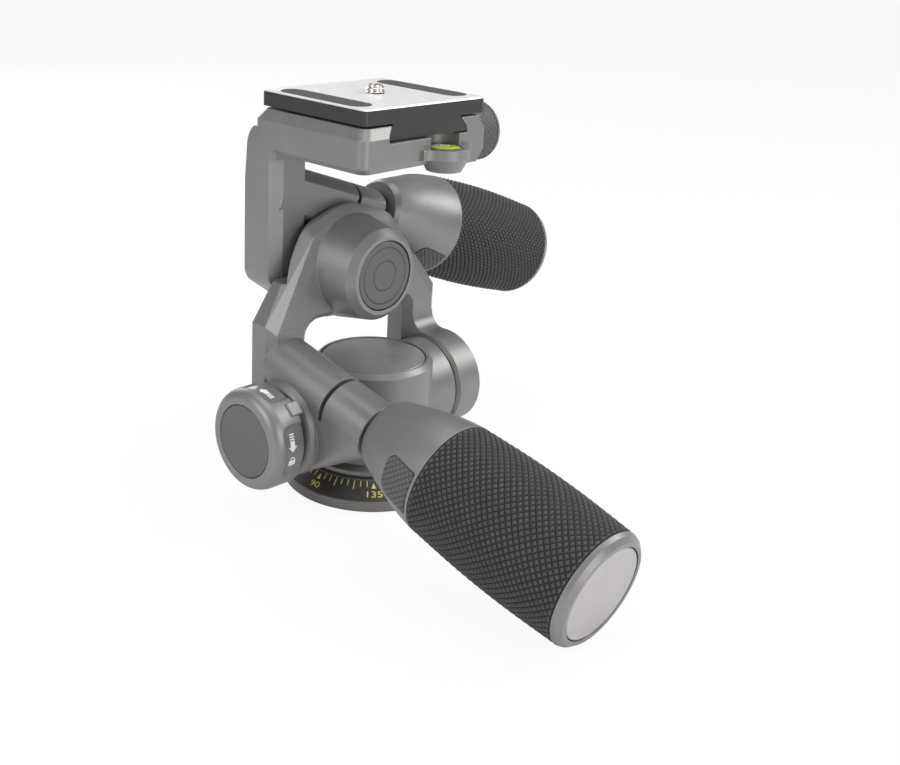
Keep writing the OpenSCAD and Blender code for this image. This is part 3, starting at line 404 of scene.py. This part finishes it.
def handle_matrix(which):
    """Axes of a handle: Z runs out along it from the end of its clamp lug."""
    j = JOINT[which + "_handle_turn"]
    droop = math.asin(-j["axis"][2])
    lean = Matrix.Rotation(math.radians(90) + droop, 4, "X" if which == "front" else "Y")
    turn = Matrix.Rotation(math.radians(HANDLE_TURN[which]), 4, "Z")
    return Matrix.Translation(Vector(j["pos_m"])) @ (lean @ turn)


def axis_matrix(origin, direction):
    """Axes with Z along a direction."""
    return Matrix.Translation(Vector(origin)) @ Vector(direction).to_track_quat("Z", "Y").to_matrix().to_4x4()


def lathe(name, profile, matrix, cols, material, shape=None, closed=False):
    """Turned mesh about Z from (radius, height) points; shape may change the radii over the angle."""
    theta = np.arange(cols) * FULL_TURN / cols
    ring = rings_of(theta)
    grid = []
    for r, h in (profile + profile[:1] if closed else profile):
        radii = np.full(cols, float(r))
        if shape is not None:
            radii = shape(theta, radii, h)
        grid.append(ring(radii, h))
    grid = moved(np.array(grid).reshape(-1, 3), matrix).reshape(len(grid), cols, 3)
    obj = sheet(name, grid, True, material)
    face_outward(obj, 1e-7)
    return obj


def dense(points, step):
    """Profile with extra points so that no stretch is longer than step."""
    out = [points[0]]
    for a, b in zip(points, points[1:]):
        n = max(1, int(math.ceil(math.dist(a, b) / step)))
        out += [(a[0] + (b[0] - a[0]) * i / n, a[1] + (b[1] - a[1]) * i / n) for i in range(1, n + 1)]
    return out


def smooth_step(x):
    """Nought to one with a soft start and end."""
    x = np.clip(x, 0, 1)
    return x * x * (3 - 2 * x)


# ---------------------------------------------------------------- settings

class HeadSettings(bpy.types.PropertyGroup):
    """Colours and rib sizes of the head"""
    cast_colour: bpy.props.FloatVectorProperty(
        name="Casting colour", description="Warm grey coat of the castings", subtype="COLOR",
        default=(0.205, 0.203, 0.196), min=0, max=1)
    rubber_colour: bpy.props.FloatVectorProperty(
        name="Rubber colour", description="Charcoal rubber of the grips", subtype="COLOR",
        default=(0.064, 0.065, 0.069), min=0, max=1)
    mark_colour: bpy.props.FloatVectorProperty(
        name="Scale mark colour", description="Pale yellow print of the degree scale", subtype="COLOR",
        default=(0.86, 0.76, 0.2), min=0, max=1)
    disc_colour: bpy.props.FloatVectorProperty(
        name="Inset disc colour", description="Dark grey of the inset discs", subtype="COLOR",
        default=(0.115, 0.112, 0.108), min=0, max=1)
    knurl_around: bpy.props.IntProperty(
        name="Ribs round a grip", description="Diamonds round each rubber grip", default=48, min=20, max=80)
    knurl_pitch: bpy.props.FloatProperty(
        name="Rib pitch", description="Length of a diamond along the grip", default=0.0023,
        unit="LENGTH", min=0.001, max=0.006, precision=4)
    knurl_depth: bpy.props.FloatProperty(
        name="Rib depth", description="Depth of the grooves between the diamonds", default=0.0007,
        unit="LENGTH", min=0.0001, max=0.001, precision=5)
    scale_zero: bpy.props.FloatProperty(
        name="Scale zero", description="Direction of the zero mark about the pan axis",
        default=math.radians(93.5), unit="ROTATION")
    tick_step: bpy.props.IntProperty(
        name="Tick step", description="Degrees between the scale's ticks", default=5, min=1, max=15)


def settings():
    """The sizes and colours that a user may change."""
    return bpy.context.scene.head_looks


# ---------------------------------------------------------------- pieces

def give(nodes, material):
    """One finish for carried-over nodes."""
    for n in nodes:
        obj = frame["nodes"][n]
        obj.data.materials.clear()
        obj.data.materials.append(material)


class HEAD_OT_finishes(bpy.types.Operator):
    """Give every carried-over node its finish"""
    bl_idname = "head.finishes"
    bl_label = "Finishes"

    def execute(self, context):
        s = settings()
        cast = cast_metal("cast_metal", tuple(s.cast_colour))
        FINISHES["cast"] = cast
        give(("base", "pan_housing", "yoke", "pan_knob", "bracket", "jaw", "clamp_knob",
              "front_collar", "rear_collar", "front_end_ring", "rear_end_ring"), cast)
        disc = cast_metal("disc_metal", tuple(s.disc_colour), 0.36)
        give(("ear_cover", "pan_knob_cap", "level_cup"), disc)
        give(("housing_cap",), plain_metal("polished_cap", (0.46, 0.445, 0.44), 0.36, 0.8, 0.08,
                                           axis_matrix(JOINT["pan"]["pos_m"], (0, 0, 1))))
        give(("boss_cap",), ringed_disc("ringed_disc", tuple(s.disc_colour), JOINT["roll"]["pos_m"]))
        scale = cast_metal("scale_coat", shade(s.disc_colour, 0.62), 0.5)
        give(("scale_ring", "clamp_knob_grip"), scale)
        steel = plain_metal("turned_steel", (0.62, 0.62, 0.63), 0.3)
        give(("tripod_bush", "base_screws", "pan_spindle", "disc_washer", "spindle_nut", "tilt_axle",
              "tilt_pin", "ear_washer", "ear_screw", "roll_axle", "roll_washer", "roll_screw",
              "pan_lock_screw", "jaw_pins", "jaw_springs", "clamp_screw", "plate_stops", "camera_screw",
              "front_core", "rear_core"), steel)
        # studs darkened to half the disc colour: their own dark tone and painted shade of the neck between
        # clamp lug and collar
        stud = cast_metal("stud_coat_and_painted_shade", shade(s.disc_colour, 0.5), 0.4)
        give(("front_stud", "rear_stud"), stud)
        give(("pan_washer", "tilt_bush", "ear_bush", "roll_bush"),
             rubber_finish("bearing_plastic", (0.6, 0.58, 0.54)))
        give(("brake_shoe",), plain_metal("brass", (0.6, 0.42, 0.16), 0.35))
        give(("front_grip", "rear_grip"), rubber_finish("grip_rubber", tuple(s.rubber_colour)))
        for which in ("front", "rear"):
            m = handle_matrix(which)
            give((which + "_end_disc",), plain_metal(which + "_turned_disc", (0.43, 0.415, 0.41), 0.5,
                                                     0.4, 0.2, m))
            give((which + "_tabs",), tab_finish(which + "_tab_rubber", tuple(s.rubber_colour), m))
        return {"FINISHED"}


class HEAD_OT_grips(bpy.types.Operator):
    """Build the ribbed rubber grips of both handles"""
    bl_idname = "head.grips"
    bl_label = "Ribbed grips"

    def execute(self, context):
        s = settings()
        for which in ("front", "rear"):
            m = handle_matrix(which)
            node = frame["nodes"][which + "_grip"]
            co = moved([v.co for v in node.data.vertices], m.inverted())
            z0, z1 = co[:, 2].min(), co[:, 2].max()
            r = np.hypot(co[:, 0], co[:, 1])
            edge_r = r[co[:, 2] < z0 + 0.0005].max()
            top_r = r.max()
            around, fine = s.knurl_around, KNURL_FINE
            margin = 0.8 * MM
            ribbed = z1 - z0 - 2 * margin
            periods = int(round(ribbed / s.knurl_pitch))
            rows = periods * fine
            columns = np.arange(around * fine)
            ring = rings_of(columns * FULL_TURN / (around * fine))
            grid = []
            for i, h in enumerate(np.linspace(z0 + margin, z1 - margin, rows + 1)):
                t = (h - z0) / (z1 - z0)
                skin = edge_r + (top_r - edge_r) * math.sin(math.pi * t)
                cut = np.clip((diamond(columns, i, fine) - 0.32) / 0.68, 0, 1) * s.knurl_depth
                cut = cut * min(1.0, (min(h - z0, z1 - h) - margin) / (0.6 * MM) + 0.15)
                grid.append(ring(skin - cut, h))
            inner = r.min()
            rim, lip = edge_r - 0.1 * MM, edge_r - 0.6 * MM
            grid = [ring(inner, z0), ring(lip, z0), ring(rim, z0 + 0.3 * MM)] + grid
            grid += [ring(rim, z1 - 0.3 * MM), ring(lip, z1), ring(inner, z1), ring(inner, z0)]
            grid = moved(np.array(grid).reshape(-1, 3), m).reshape(len(grid), -1, 3)
            coat = grip_finish(which + "_grip_rubber", tuple(s.rubber_colour), m, z0 + margin, around,
                               ribbed / periods)
            obj = sheet(which + "_ribbed_grip", grid, True, coat)
            soften(obj, 40)
            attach(obj, which + "_handle")
            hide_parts(which + "_grip")
        return {"FINISHED"}


class HEAD_OT_clamp_knob(bpy.types.Operator):
    """Build the ribbed ring of the jaw knob"""
    bl_idname = "head.clamp_knob"
    bl_label = "Jaw knob ribs"

    def execute(self, context):
        j = JOINT["clamp_knob_turn"]
        m = axis_matrix(j["pos_m"], j["axis"])
        co = moved([v.co for v in frame["nodes"]["clamp_knob_grip"].data.vertices], m.inverted())
        z0, z1 = co[:, 2].min(), co[:, 2].max()
        r = np.hypot(co[:, 0], co[:, 1])
        top, inner = r.max(), r.min()
        around, fine, pitch, depth, margin = 34, KNURL_FINE, 2.4 * MM, 0.4 * MM, 0.6 * MM
        columns = np.arange(around * fine)
        ring = rings_of(columns * FULL_TURN / (around * fine))
        ribbed = z1 - z0 - 2 * margin
        rows = int(round(ribbed / pitch * fine))
        grid = [ring(inner, z0), ring(top - 0.9 * MM, z0)]
        for i in range(rows + 1):
            cut = np.clip((diamond(columns, i, fine) - 0.25) / 0.75, 0, 1) * depth
            grid.append(ring(top - cut, z0 + margin + ribbed * i / rows))
        grid += [ring(top - 0.6 * MM, z1), ring(inner, z1), ring(inner, z0)]
        grid = moved(np.array(grid).reshape(-1, 3), m).reshape(len(grid), -1, 3)
        coat = rubber_finish("knob_rubber", shade(settings().rubber_colour, 1.2))
        obj = sheet("jaw_knob_ribs", grid, True, coat)
        soften(obj, 60)
        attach(obj, "clamp_knob")
        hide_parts("clamp_knob_grip")
        return {"FINISHED"}


def cone_place(angle, s, out):
    """A point on the base's slope: s up the slope from its foot, out above it, in metres."""
    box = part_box("base")
    foot_r, top_z = box[1].x, box[1].z
    rim, top_r = BASE_RIM, SLOPE_TOP_R
    run, rise = top_r - foot_r, top_z - rim
    length = math.hypot(run, rise)
    dr, dz = run / length, rise / length
    r = foot_r + dr * s + dz * out
    return Vector((r * math.cos(angle), r * math.sin(angle), rim + dz * s - dr * out))


def cone_patch(outline, angle, out, back):
    """Thin solid on the slope from an outline of (sideways, up) points round a direction."""
    n = len(outline)
    verts = []
    for lift in (back, out):
        for u, s in outline:
            verts.append(cone_place(angle + u / TICK_RING, s, lift))
    faces = [tuple(range(2 * n - 1, n - 1, -1)), tuple(range(n))]
    for i in range(n):
        k = (i + 1) % n
        faces.append((i, n + i, n + k, k))
    return verts, faces


class HEAD_OT_scale(bpy.types.Operator):
    """Print the degree scale on the base's slope"""
    bl_idname = "head.scale"
    bl_label = "Degree scale"

    def execute(self, context):
        s = settings()
        verts, faces = [], []

        def add(part):
            base = len(verts)
            verts.extend(part[0])
            faces.extend(tuple(i + base for i in f) for f in part[1])

        out, back = MARK_OUT, -MARK_IN
        arrow = [(-0.0008, 0.0052), (0.0008, 0.0052), (0, 0.0073)]
        long_foot, short_foot, high = 0.0046, 0.0057, 0.0078
        for deg in range(0, 360, s.tick_step):
            angle = s.scale_zero + math.radians(deg)
            if deg % 45 == 0:
                add(cone_patch(arrow, angle, out, back))
                continue
            low = long_foot if deg % 15 == 0 else short_foot
            add(cone_patch([(-TICK, low), (TICK, low), (TICK, high), (-TICK, high)], angle, out, back))
        for deg in range(0, 360, 45):
            curve = bpy.data.curves.new("numeral", "FONT")
            curve.body = str(deg)
            curve.size = NUMERAL_SIZE
            curve.align_x = "CENTER"
            curve.resolution_u = 4
            obj = bpy.data.objects.new("numeral", curve)
            bpy.context.scene.collection.objects.link(obj)
            flat = bpy.data.meshes.new_from_object(obj.evaluated_get(bpy.context.evaluated_depsgraph_get()))
            bm = bmesh.new()
            bm.from_mesh(flat)
            top = bmesh.ops.extrude_face_region(bm, geom=bm.faces[:])
            for v in top["geom"]:
                if isinstance(v, bmesh.types.BMVert):
                    v.co.z = 1.0
            bmesh.ops.recalc_face_normals(bm, faces=bm.faces[:])
            base = len(verts)
            angle = s.scale_zero + math.radians(deg)
            bm.verts.index_update()
            for v in bm.verts:
                verts.append(cone_place(angle + v.co.x * NUMERAL_WIDTH / NUMERAL_RING, NUMERAL_FOOT + v.co.y,
                                        out if v.co.z > 0.5 else back))
            for f in bm.faces:
                faces.append(tuple(base + v.index for v in f.verts))
            bm.free()
            bpy.data.objects.remove(obj)
            bpy.data.curves.remove(curve)
            bpy.data.meshes.remove(flat)
        coat = paint_finish("scale_print", tuple(s.mark_colour))
        obj = mesh_object("scale_marks", verts, faces, coat, smooth=False)
        face_outward(obj)
        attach(obj, "root")
        return {"FINISHED"}


class HEAD_OT_plate(bpy.types.Operator):
    """Finish the quick release plate and rib its rubber strips"""
    bl_idname = "head.plate"
    bl_label = "Plate and strips"

    def execute(self, context):
        f = Finish("plate_coat", Specular_IOR_Level=0.5)
        normal = f.node("ShaderNodeTexCoord", output=1)
        up = f.split(normal)[2]
        z = f.split(f.coords())[2]
        high = z > (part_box("plate")[1].z - 0.0008)
        top = up.ramp(0.5, 0.6) * high
        flat = up.ramp(0.9, 0.98) * high
        grain = f.noise(300, 4, 0.6)
        side = f.mix(grain.ramp(0.3, 0.75), (0.024, 0.0245, 0.026), (0.032, 0.0325, 0.034))
        bare = f.mix(grain.ramp(0.3, 0.7), (0.8, 0.775, 0.78), (0.85, 0.825, 0.83))
        f.feed("Base Color", f.mix(top, side, bare))
        f.feed("Metallic", top * 0.25 + 0.1)
        f.feed("Roughness", grain.ramp(0.2, 0.8, 0.3, 0.38) + flat * 0.06)
        x, y = f.split(f.coords())[:2]
        at = f.node("ShaderNodeCombineXYZ", {}, {0: x * 9000.0, 1: y * 300.0})
        lines = f.node("ShaderNodeTexNoise", {}, {"Vector": at, "Scale": 1.0, "Detail": 2.0})
        f.bump(lines, 0.12, 0.00002, f.edge_normal(0.0002))
        give(("plate",), f.material)
        low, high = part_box("plate_strips")
        half_w, half_l = STRIP_HALF_W, (high.y - low.y) / 2
        mid_y = (high.y + low.y) / 2
        verts, faces = [], []
        for x0 in (low.x + half_w, high.x - half_w):
            base = len(verts)
            rows, cols = 180, 40
            for i in range(rows + 1):
                v = -half_l + 2 * half_l * i / rows
                over = max(0.0, abs(v) - (half_l - half_w))
                w = math.sqrt(max(half_w ** 2 - over ** 2, 1e-10)) - 0.00005
                for k in range(cols + 1):
                    u = w * (-1 + 2 * k / cols)
                    a, b = (u + v) / STRIP_PITCH, (u - v) / STRIP_PITCH
                    d = max(abs(a % 1 - 0.5), abs(b % 1 - 0.5)) * 2
                    rim = min(1.0, (w - abs(u)) / STRIP_RIM)
                    z = high.z - STRIP_DEPTH * min(1, max(0, (d - 0.5) / 0.5)) - STRIP_RIM * (1 - rim)
                    if k in (0, cols) or i in (0, rows):
                        z = low.z + 0.0006
                    verts.append((x0 + u, mid_y + v, z))
            for i in range(rows):
                for k in range(cols):
                    a = base + i * (cols + 1) + k
                    faces.append((a, a + 1, a + cols + 2, a + cols + 1))
        rubber = rubber_finish("strip_rubber", (0.1, 0.095, 0.1), 0.12, 0.3)
        obj = mesh_object("ribbed_strips", verts, faces, rubber)
        soften(obj, 50)
        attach(obj, "plate")
        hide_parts("plate_strips")
        return {"FINISHED"}


class HEAD_OT_camera_screw(bpy.types.Operator):
    """Build the camera screw with its thread"""
    bl_idname = "head.camera_screw"
    bl_label = "Camera screw"

    def execute(self, context):
        low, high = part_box("camera_screw")
        mid = (low + high) / 2
        m = Matrix.Translation(Vector((mid.x, mid.y, 0)))
        pitch, major, minor = 0.00127, 0.003175, 0.00262
        head_r, chamfer, head_h = 0.0081, 0.0005, 0.0034
        top = high.z
        start = top - 0.0068
        head = [(0, low.z), (head_r - chamfer, low.z), (head_r, low.z + chamfer),
                (head_r, low.z + head_h - chamfer), (head_r - chamfer, low.z + head_h),
                (major, low.z + head_h), (major, start)]
        shaft = [(major, start + (top - 0.0007 - start) * i / 60) for i in range(1, 61)]
        end = [(minor - 0.0002, top - 0.0001), (minor - 0.0006, top), (0.0011, top),
               (0.0008, top - 0.0005), (0, top - 0.0005)]

        def thread(theta, r, h):
            if h <= start or h > top - 0.0006 or r[0] < major - 1e-6:
                return r
            w = (h / pitch - theta / FULL_TURN) % 1
            tooth = np.clip(1.25 - np.abs(w - 0.5) * 4.0, 0, 1)
            fade = min(1.0, (h - start) / 0.0006)
            runout = min(1.0, (top - 0.0006 - h) / 0.0009)
            return r - (1 - tooth) * (major - minor) * fade - (1 - runout) * 0.00035
        obj = lathe("threaded_camera_screw", head + shaft + end, m, 72,
                    plain_metal("bright_screw", (0.72, 0.7, 0.68), 0.2), thread)
        soften(obj, 50)
        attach(obj, "camera_screw")
        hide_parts("camera_screw")
        return {"FINISHED"}


class HEAD_OT_level(bpy.types.Operator):
    """Finish the bubble level and add its bubble and ring"""
    bl_idname = "head.level"
    bl_label = "Bubble level"

    def execute(self, context):
        fluid = Finish("glowing_vial_liquid", Roughness=0.18, Coat_Weight=0.6, Coat_Roughness=0.05)
        cloud = fluid.noise(300, 3)
        colour = fluid.mix(cloud.ramp(0.3, 0.7), (0.5, 0.68, 0.03), (0.62, 0.78, 0.06))
        fluid.feed("Base Color", colour)
        # painted glow: the liquid gives off light of its own colour, though it is no lamp
        fluid.feed("Emission Color", colour)
        fluid.shader.inputs["Emission Strength"].default_value = 0.25
        give(("level_fluid",), fluid.material)
        lens = Finish("vial_window", Roughness=0.08, Coat_Weight=0.8, Coat_Roughness=0.03)
        haze = lens.noise(200, 2)
        lens.feed("Base Color", lens.mix(haze.ramp(0.4, 0.7), (0.56, 0.68, 0.05), (0.64, 0.76, 0.09)))
        give(("level_lens",), lens.material)
        low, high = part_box("level_lens")
        mid = (low + high) / 2
        m = Matrix.Translation(Vector((mid.x, mid.y, high.z)))
        bubble = [(0, 0.00006), (0.0009, 0.00008), (0.0015, 0.0001), (0.00172, 0.00006), (0.00178, 0.00002)]
        gas = Finish("bubble_gas", Roughness=0.1)
        gas.feed("Base Color", gas.mix(gas.noise(400, 2).ramp(0.3, 0.7), (0.85, 0.95, 0.5), (0.95, 1.0, 0.7)))
        aside = Matrix.Translation((0.0002, 0.0003, -0.00012))
        obj = lathe("level_bubble", bubble, m @ aside, 40, gas.material)
        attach(obj, "bracket")
        ring = [(0.00225, -0.0002), (0.00225, -0.00001), (0.00243, -0.00001), (0.00243, -0.0002)]
        obj = lathe("level_ring", ring, m, 64, paint_finish("ring_print", (0.03, 0.04, 0.01)), closed=True)
        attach(obj, "bracket")
        return {"FINISHED"}


def knob_patch(outline, matrix, radius, depth=0.00006):
    """Thin solid on the pan knob's rim from an outline of (angle in radians, height)."""
    n = len(outline)
    verts = []
    for rad in (radius - depth, radius + depth):
        for a, h in outline:
            verts.append(matrix @ Vector((rad * math.cos(a), rad * math.sin(a), h)))
    faces = [tuple(range(n - 1, -1, -1)), tuple(range(n, 2 * n))]
    for i in range(n):
        k = (i + 1) % n
        faces.append((i, k, n + k, n + i))
    return verts, faces


def pointer_block(matrix, angle, radius, half, back, front):
    """Raised block on a knob's rim, with round corners and a small chamfer."""
    out = Vector((math.cos(angle), math.sin(angle), 0))
    side = Vector((-math.sin(angle), math.cos(angle), 0))
    corner = 0.0006
    verts, faces = [], []
    for lift, inset in ((-0.0014, 0.0), (0.00035, 0.0), (0.0006, 0.00028)):
        reach = corner - inset
        for k, (sx, sh) in enumerate(((1, 1), (-1, 1), (-1, -1), (1, -1))):
            cx = sx * (half - corner)
            ch = (front - corner) if sh > 0 else (back + corner)
            for i in range(6):
                a = math.radians(90 * k + 18 * i)
                at = out * (radius + lift) + side * (cx + reach * math.cos(a))
                verts.append(matrix @ (at + Vector((0, 0, ch + reach * math.sin(a)))))
    n = 24
    for ring in (0, n):
        for i in range(n):
            k = (i + 1) % n
            faces.append((ring + i, ring + k, ring + n + k, ring + n + i))
    faces += [tuple(range(n - 1, -1, -1)), tuple(range(2 * n, 3 * n))]
    return verts, faces


class HEAD_OT_pan_knob(bpy.types.Operator):
    """Build the pan lock knob with its pockets, pointer and arrows"""
    bl_idname = "head.pan_knob"
    bl_label = "Pan lock knob"

    def execute(self, context):
        low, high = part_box("pan_knob")
        axis_z = JOINT["tilt"]["pos_m"][2]
        x_back, x_face = high.x, low.x
        length = x_back - x_face
        big = (high.z - low.z) / 2
        # local Z runs out along the knob, local X to +Y and local Y up
        m = Matrix(((0, 0, -1, x_back), (1, 0, 0, 0), (0, 1, 0, axis_z), (0, 0, 0, 1)))
        cap_r = (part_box("pan_knob_cap")[1].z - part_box("pan_knob_cap")[0].z) / 2
        bore_r, bore_floor, wall, chamfer = 0.0041, 0.0052, 0.0027, 0.0005
        # the rounded front edge is an ellipse, wide over the face and long down the side
        round_w, round_l = 0.0032, 0.0042
        seat_r, seat_z = cap_r + 0.00025, length - 0.0016
        profile = dense([(bore_r, length - 0.0018), (bore_r, bore_floor), (big - wall, bore_floor),
                         (big - wall, 0.0), (big - chamfer, 0.0)], 0.004)
        profile += dense([(big - chamfer, 0.0), (big, chamfer), (big, length - round_l)], 0.0003)[1:]
        for i in range(1, 17):
            a = math.radians(90 * i / 16)
            profile.append((big - round_w + round_w * math.cos(a), length - round_l + round_l * math.sin(a)))
        profile += dense([(big - round_w, length), (seat_r + 0.0002, length), (seat_r, length - 0.0002),
                          (seat_r, seat_z), (bore_r, length - 0.0018)], 0.002)[1:]
        half, corner, soft, pocket_depth = math.radians(30.5), 0.0032, 0.0011, 0.00085
        end = length - 0.0034
        centres = [math.radians(a) for a in (0, 90, 180, 270)]

        def pockets(theta, r, h):
            if r[0] < big - 0.0024 or h > length - 0.001:
                return r
            cut = np.zeros_like(theta)
            for c in centres:
                d = np.abs((theta - c + math.pi) % FULL_TURN - math.pi)
                du = np.maximum(d - half, -1) * big + corner
                dv = (h - end) + corner
                out = np.sqrt(np.maximum(du, 0) ** 2 + max(dv, 0) ** 2)
                out = out + np.minimum(np.maximum(du, dv), 0) - corner
                cut = np.maximum(cut, smooth_step(-out / soft))
            fade = min(1.0, max(0.0, (r[0] - (big - 0.0024)) / 0.0018))
            return r - cut * pocket_depth * fade
        obj = lathe("pocketed_pan_knob", profile, m, 288, FINISHES["cast"], pockets)
        soften(obj, 40)
        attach(obj, "pan_knob")
        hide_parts("pan_knob")
        block = pointer_block(m, POINTER_ANGLE, big, half=0.0024, back=-0.0012, front=0.0034)
        obj = mesh_object("knob_pointer", *block, FINISHES["cast"])
        soften(obj, 30)
        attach(obj, "pan_knob")

        verts, faces = [], []

        def add(outline, radius):
            part = knob_patch(outline, m, radius)
            base = len(verts)
            verts.extend(part[0])
            faces.extend(tuple(i + base for i in f) for f in part[1])

        # prints in the pockets on both sides of the pointer: k counts millimetres away from it
        floor = big - 0.00084
        mid = 0.0050
        step = MM / floor
        bar, arrow, lock = 0.00085, 0.0017, 0.0013
        for start, way in ((PRINT_START[0], 1), (PRINT_START[1], -1)):
            at = lambda k: start + way * k * step
            box = lambda a0, a1, h0, h1: [(at(a0 + (a1 - a0) * i / 6), h0) for i in range(7)] + [
                (at(a1 - (a1 - a0) * i / 6), h1) for i in range(7)]
            for k in (0.0, 0.8, 1.6):
                add(box(k, k + 0.45, mid - bar, mid + bar), floor)
            add(box(2.4, 4.3, mid - bar, mid + bar), floor)
            add([(at(4.3), mid - arrow), (at(6.1), mid), (at(4.3), mid + arrow)], floor)
            # padlock: a body and a bow, shut on one side and open on the other
            c = 8.9
            add(box(c, c + 1.9, mid - lock, mid + lock), floor)
            bow_in, bow_out = 0.00062, 0.00098
            turns = [math.radians(a) for a in range(0, 181, 15)]
            shift = 0.0 if way > 0 else 0.0006
            ring = [(at(c - 0.15 - 1000 * bow * math.sin(t)), mid + shift + bow * math.cos(t))
                    for bow, way_round in ((bow_out, turns), (bow_in, turns[::-1])) for t in way_round]
            for i in range(len(turns) - 1):
                k = len(ring) - 1 - i
                add([ring[i], ring[i + 1], ring[k - 1], ring[k]], floor)
        coat = paint_finish("white_print", (0.82, 0.82, 0.8))
        marks = mesh_object("knob_marks", verts, faces, coat, smooth=False)
        face_outward(marks)
        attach(marks, "pan_knob")
        return {"FINISHED"}


# ---------------------------------------------------------------- stage

class HEAD_OT_stage(bpy.types.Operator):
    """Lay out the floor, the lights and the camera"""
    bl_idname = "head.stage"
    bl_label = "Stage"

    def execute(self, context):
        scene = bpy.context.scene
        scene.view_settings.view_transform = "Standard"
        cam = bpy.data.cameras.new("photo_camera")
        cam.lens = CAMERA_LENS
        cam.sensor_width = CAMERA_SENSOR
        cam.shift_x, cam.shift_y = CAMERA_SHIFT
        cam.clip_start = 0.01
        obj = bpy.data.objects.new("photo_camera", cam)
        scene.collection.objects.link(obj)
        yaw, pitch, roll = (math.radians(a) for a in (CAMERA_YAW, CAMERA_PITCH, CAMERA_ROLL))
        ahead = Vector((math.sin(yaw) * math.cos(pitch), math.cos(yaw) * math.cos(pitch), -math.sin(pitch)))
        right = Vector((math.cos(yaw), -math.sin(yaw), 0))
        up = right.cross(ahead)
        rolled_right = math.cos(roll) * right + math.sin(roll) * up
        rolled_up = -math.sin(roll) * right + math.cos(roll) * up
        m = Matrix((rolled_right, rolled_up, -ahead)).transposed().to_4x4()
        m.translation = Vector(CAMERA_PLACE)
        obj.matrix_world = m
        scene.camera = obj

        ends = (-FLOOR_HALF, FLOOR_HALF)
        corners = [[(x, y, -FLOOR_DROP) for x in ends] for y in ends]
        floor = sheet("floor", corners, False, None)
        f = Finish("floor_sheet", Roughness=0.6)
        f.shader.inputs["Base Color"].default_value = (0.9, 0.9, 0.9, 1)
        floor.data.materials.append(f.material)
        self.whiten(f)

        world = bpy.data.worlds.new("studio")
        scene.world = world
        world.use_nodes = True
        tree = world.node_tree
        background = next(n for n in tree.nodes if n.type == "BACKGROUND")
        white = tree.nodes.new("ShaderNodeBackground")
        white.inputs[0].default_value = WHITE
        white.inputs[1].default_value = 1.0
        background.inputs[0].default_value = WHITE
        background.inputs[1].default_value = WORLD_LIGHT
        path = tree.nodes.new("ShaderNodeLightPath")
        mix = tree.nodes.new("ShaderNodeMixShader")
        out = next(n for n in tree.nodes if n.type == "OUTPUT_WORLD")
        tree.links.new(path.outputs["Is Camera Ray"], mix.inputs[0])
        tree.links.new(background.outputs[0], mix.inputs[1])
        tree.links.new(white.outputs[0], mix.inputs[2])
        tree.links.new(mix.outputs[0], out.inputs[0])

        for name, at, size, power in LAMPS:
            lamp = bpy.data.lights.new(name, "AREA")
            lamp.shape = "SQUARE"
            lamp.size = size
            lamp.energy = power
            light = bpy.data.objects.new(name, lamp)
            scene.collection.objects.link(light)
            light.location = at
            aim = LAMP_TARGET - Vector(at)
            light.rotation_euler = aim.to_track_quat("-Z", "Y").to_euler()
        return {"FINISHED"}

    def whiten(self, f):
        """Keep the floor white for the camera except where the object shades it."""
        path = f.node("ShaderNodeLightPath")
        shader_out = f.shader.outputs[0]
        glow = f.tree.nodes.new("ShaderNodeEmission")
        glow.inputs[0].default_value = WHITE
        glow.inputs[1].default_value = 1.0
        mix = f.tree.nodes.new("ShaderNodeMixShader")
        share = path * FLOOR_GLOW
        f.tree.links.new(share.out, mix.inputs[0])
        f.tree.links.new(shader_out, mix.inputs[1])
        f.tree.links.new(glow.outputs[0], mix.inputs[2])
        out = next(n for n in f.tree.nodes if n.type == "OUTPUT_MATERIAL")
        f.tree.links.new(mix.outputs[0], out.inputs[0])


class HEAD_PT_looks(bpy.types.Panel):
    """The head's settings and its pieces"""
    bl_label = "Pan Tilt Head"
    bl_idname = "HEAD_PT_looks"
    bl_space_type = "VIEW_3D"
    bl_region_type = "UI"
    bl_category = "Head"

    def draw(self, context):
        column = self.layout.column()
        for name in HeadSettings.__annotations__:
            column.prop(context.scene.head_looks, name)
        for op in OPERATORS:
            column.operator(op.bl_idname)


OPERATORS = (HEAD_OT_finishes, HEAD_OT_grips, HEAD_OT_clamp_knob, HEAD_OT_scale, HEAD_OT_plate,
             HEAD_OT_camera_screw, HEAD_OT_level, HEAD_OT_pan_knob, HEAD_OT_stage)
CLASSES = (HeadSettings,) + OPERATORS + (HEAD_PT_looks,)


def register():
    for cls in CLASSES:
        bpy.utils.register_class(cls)
    bpy.types.Scene.head_looks = bpy.props.PointerProperty(type=HeadSettings)


def unregister():
    del bpy.types.Scene.head_looks
    for cls in reversed(CLASSES):
        bpy.utils.unregister_class(cls)


def main():
    register()
    for op in OPERATORS:
        group, name = op.bl_idname.split(".")
        getattr(getattr(bpy.ops, group), name)()


if __name__ == "__main__":
    main()
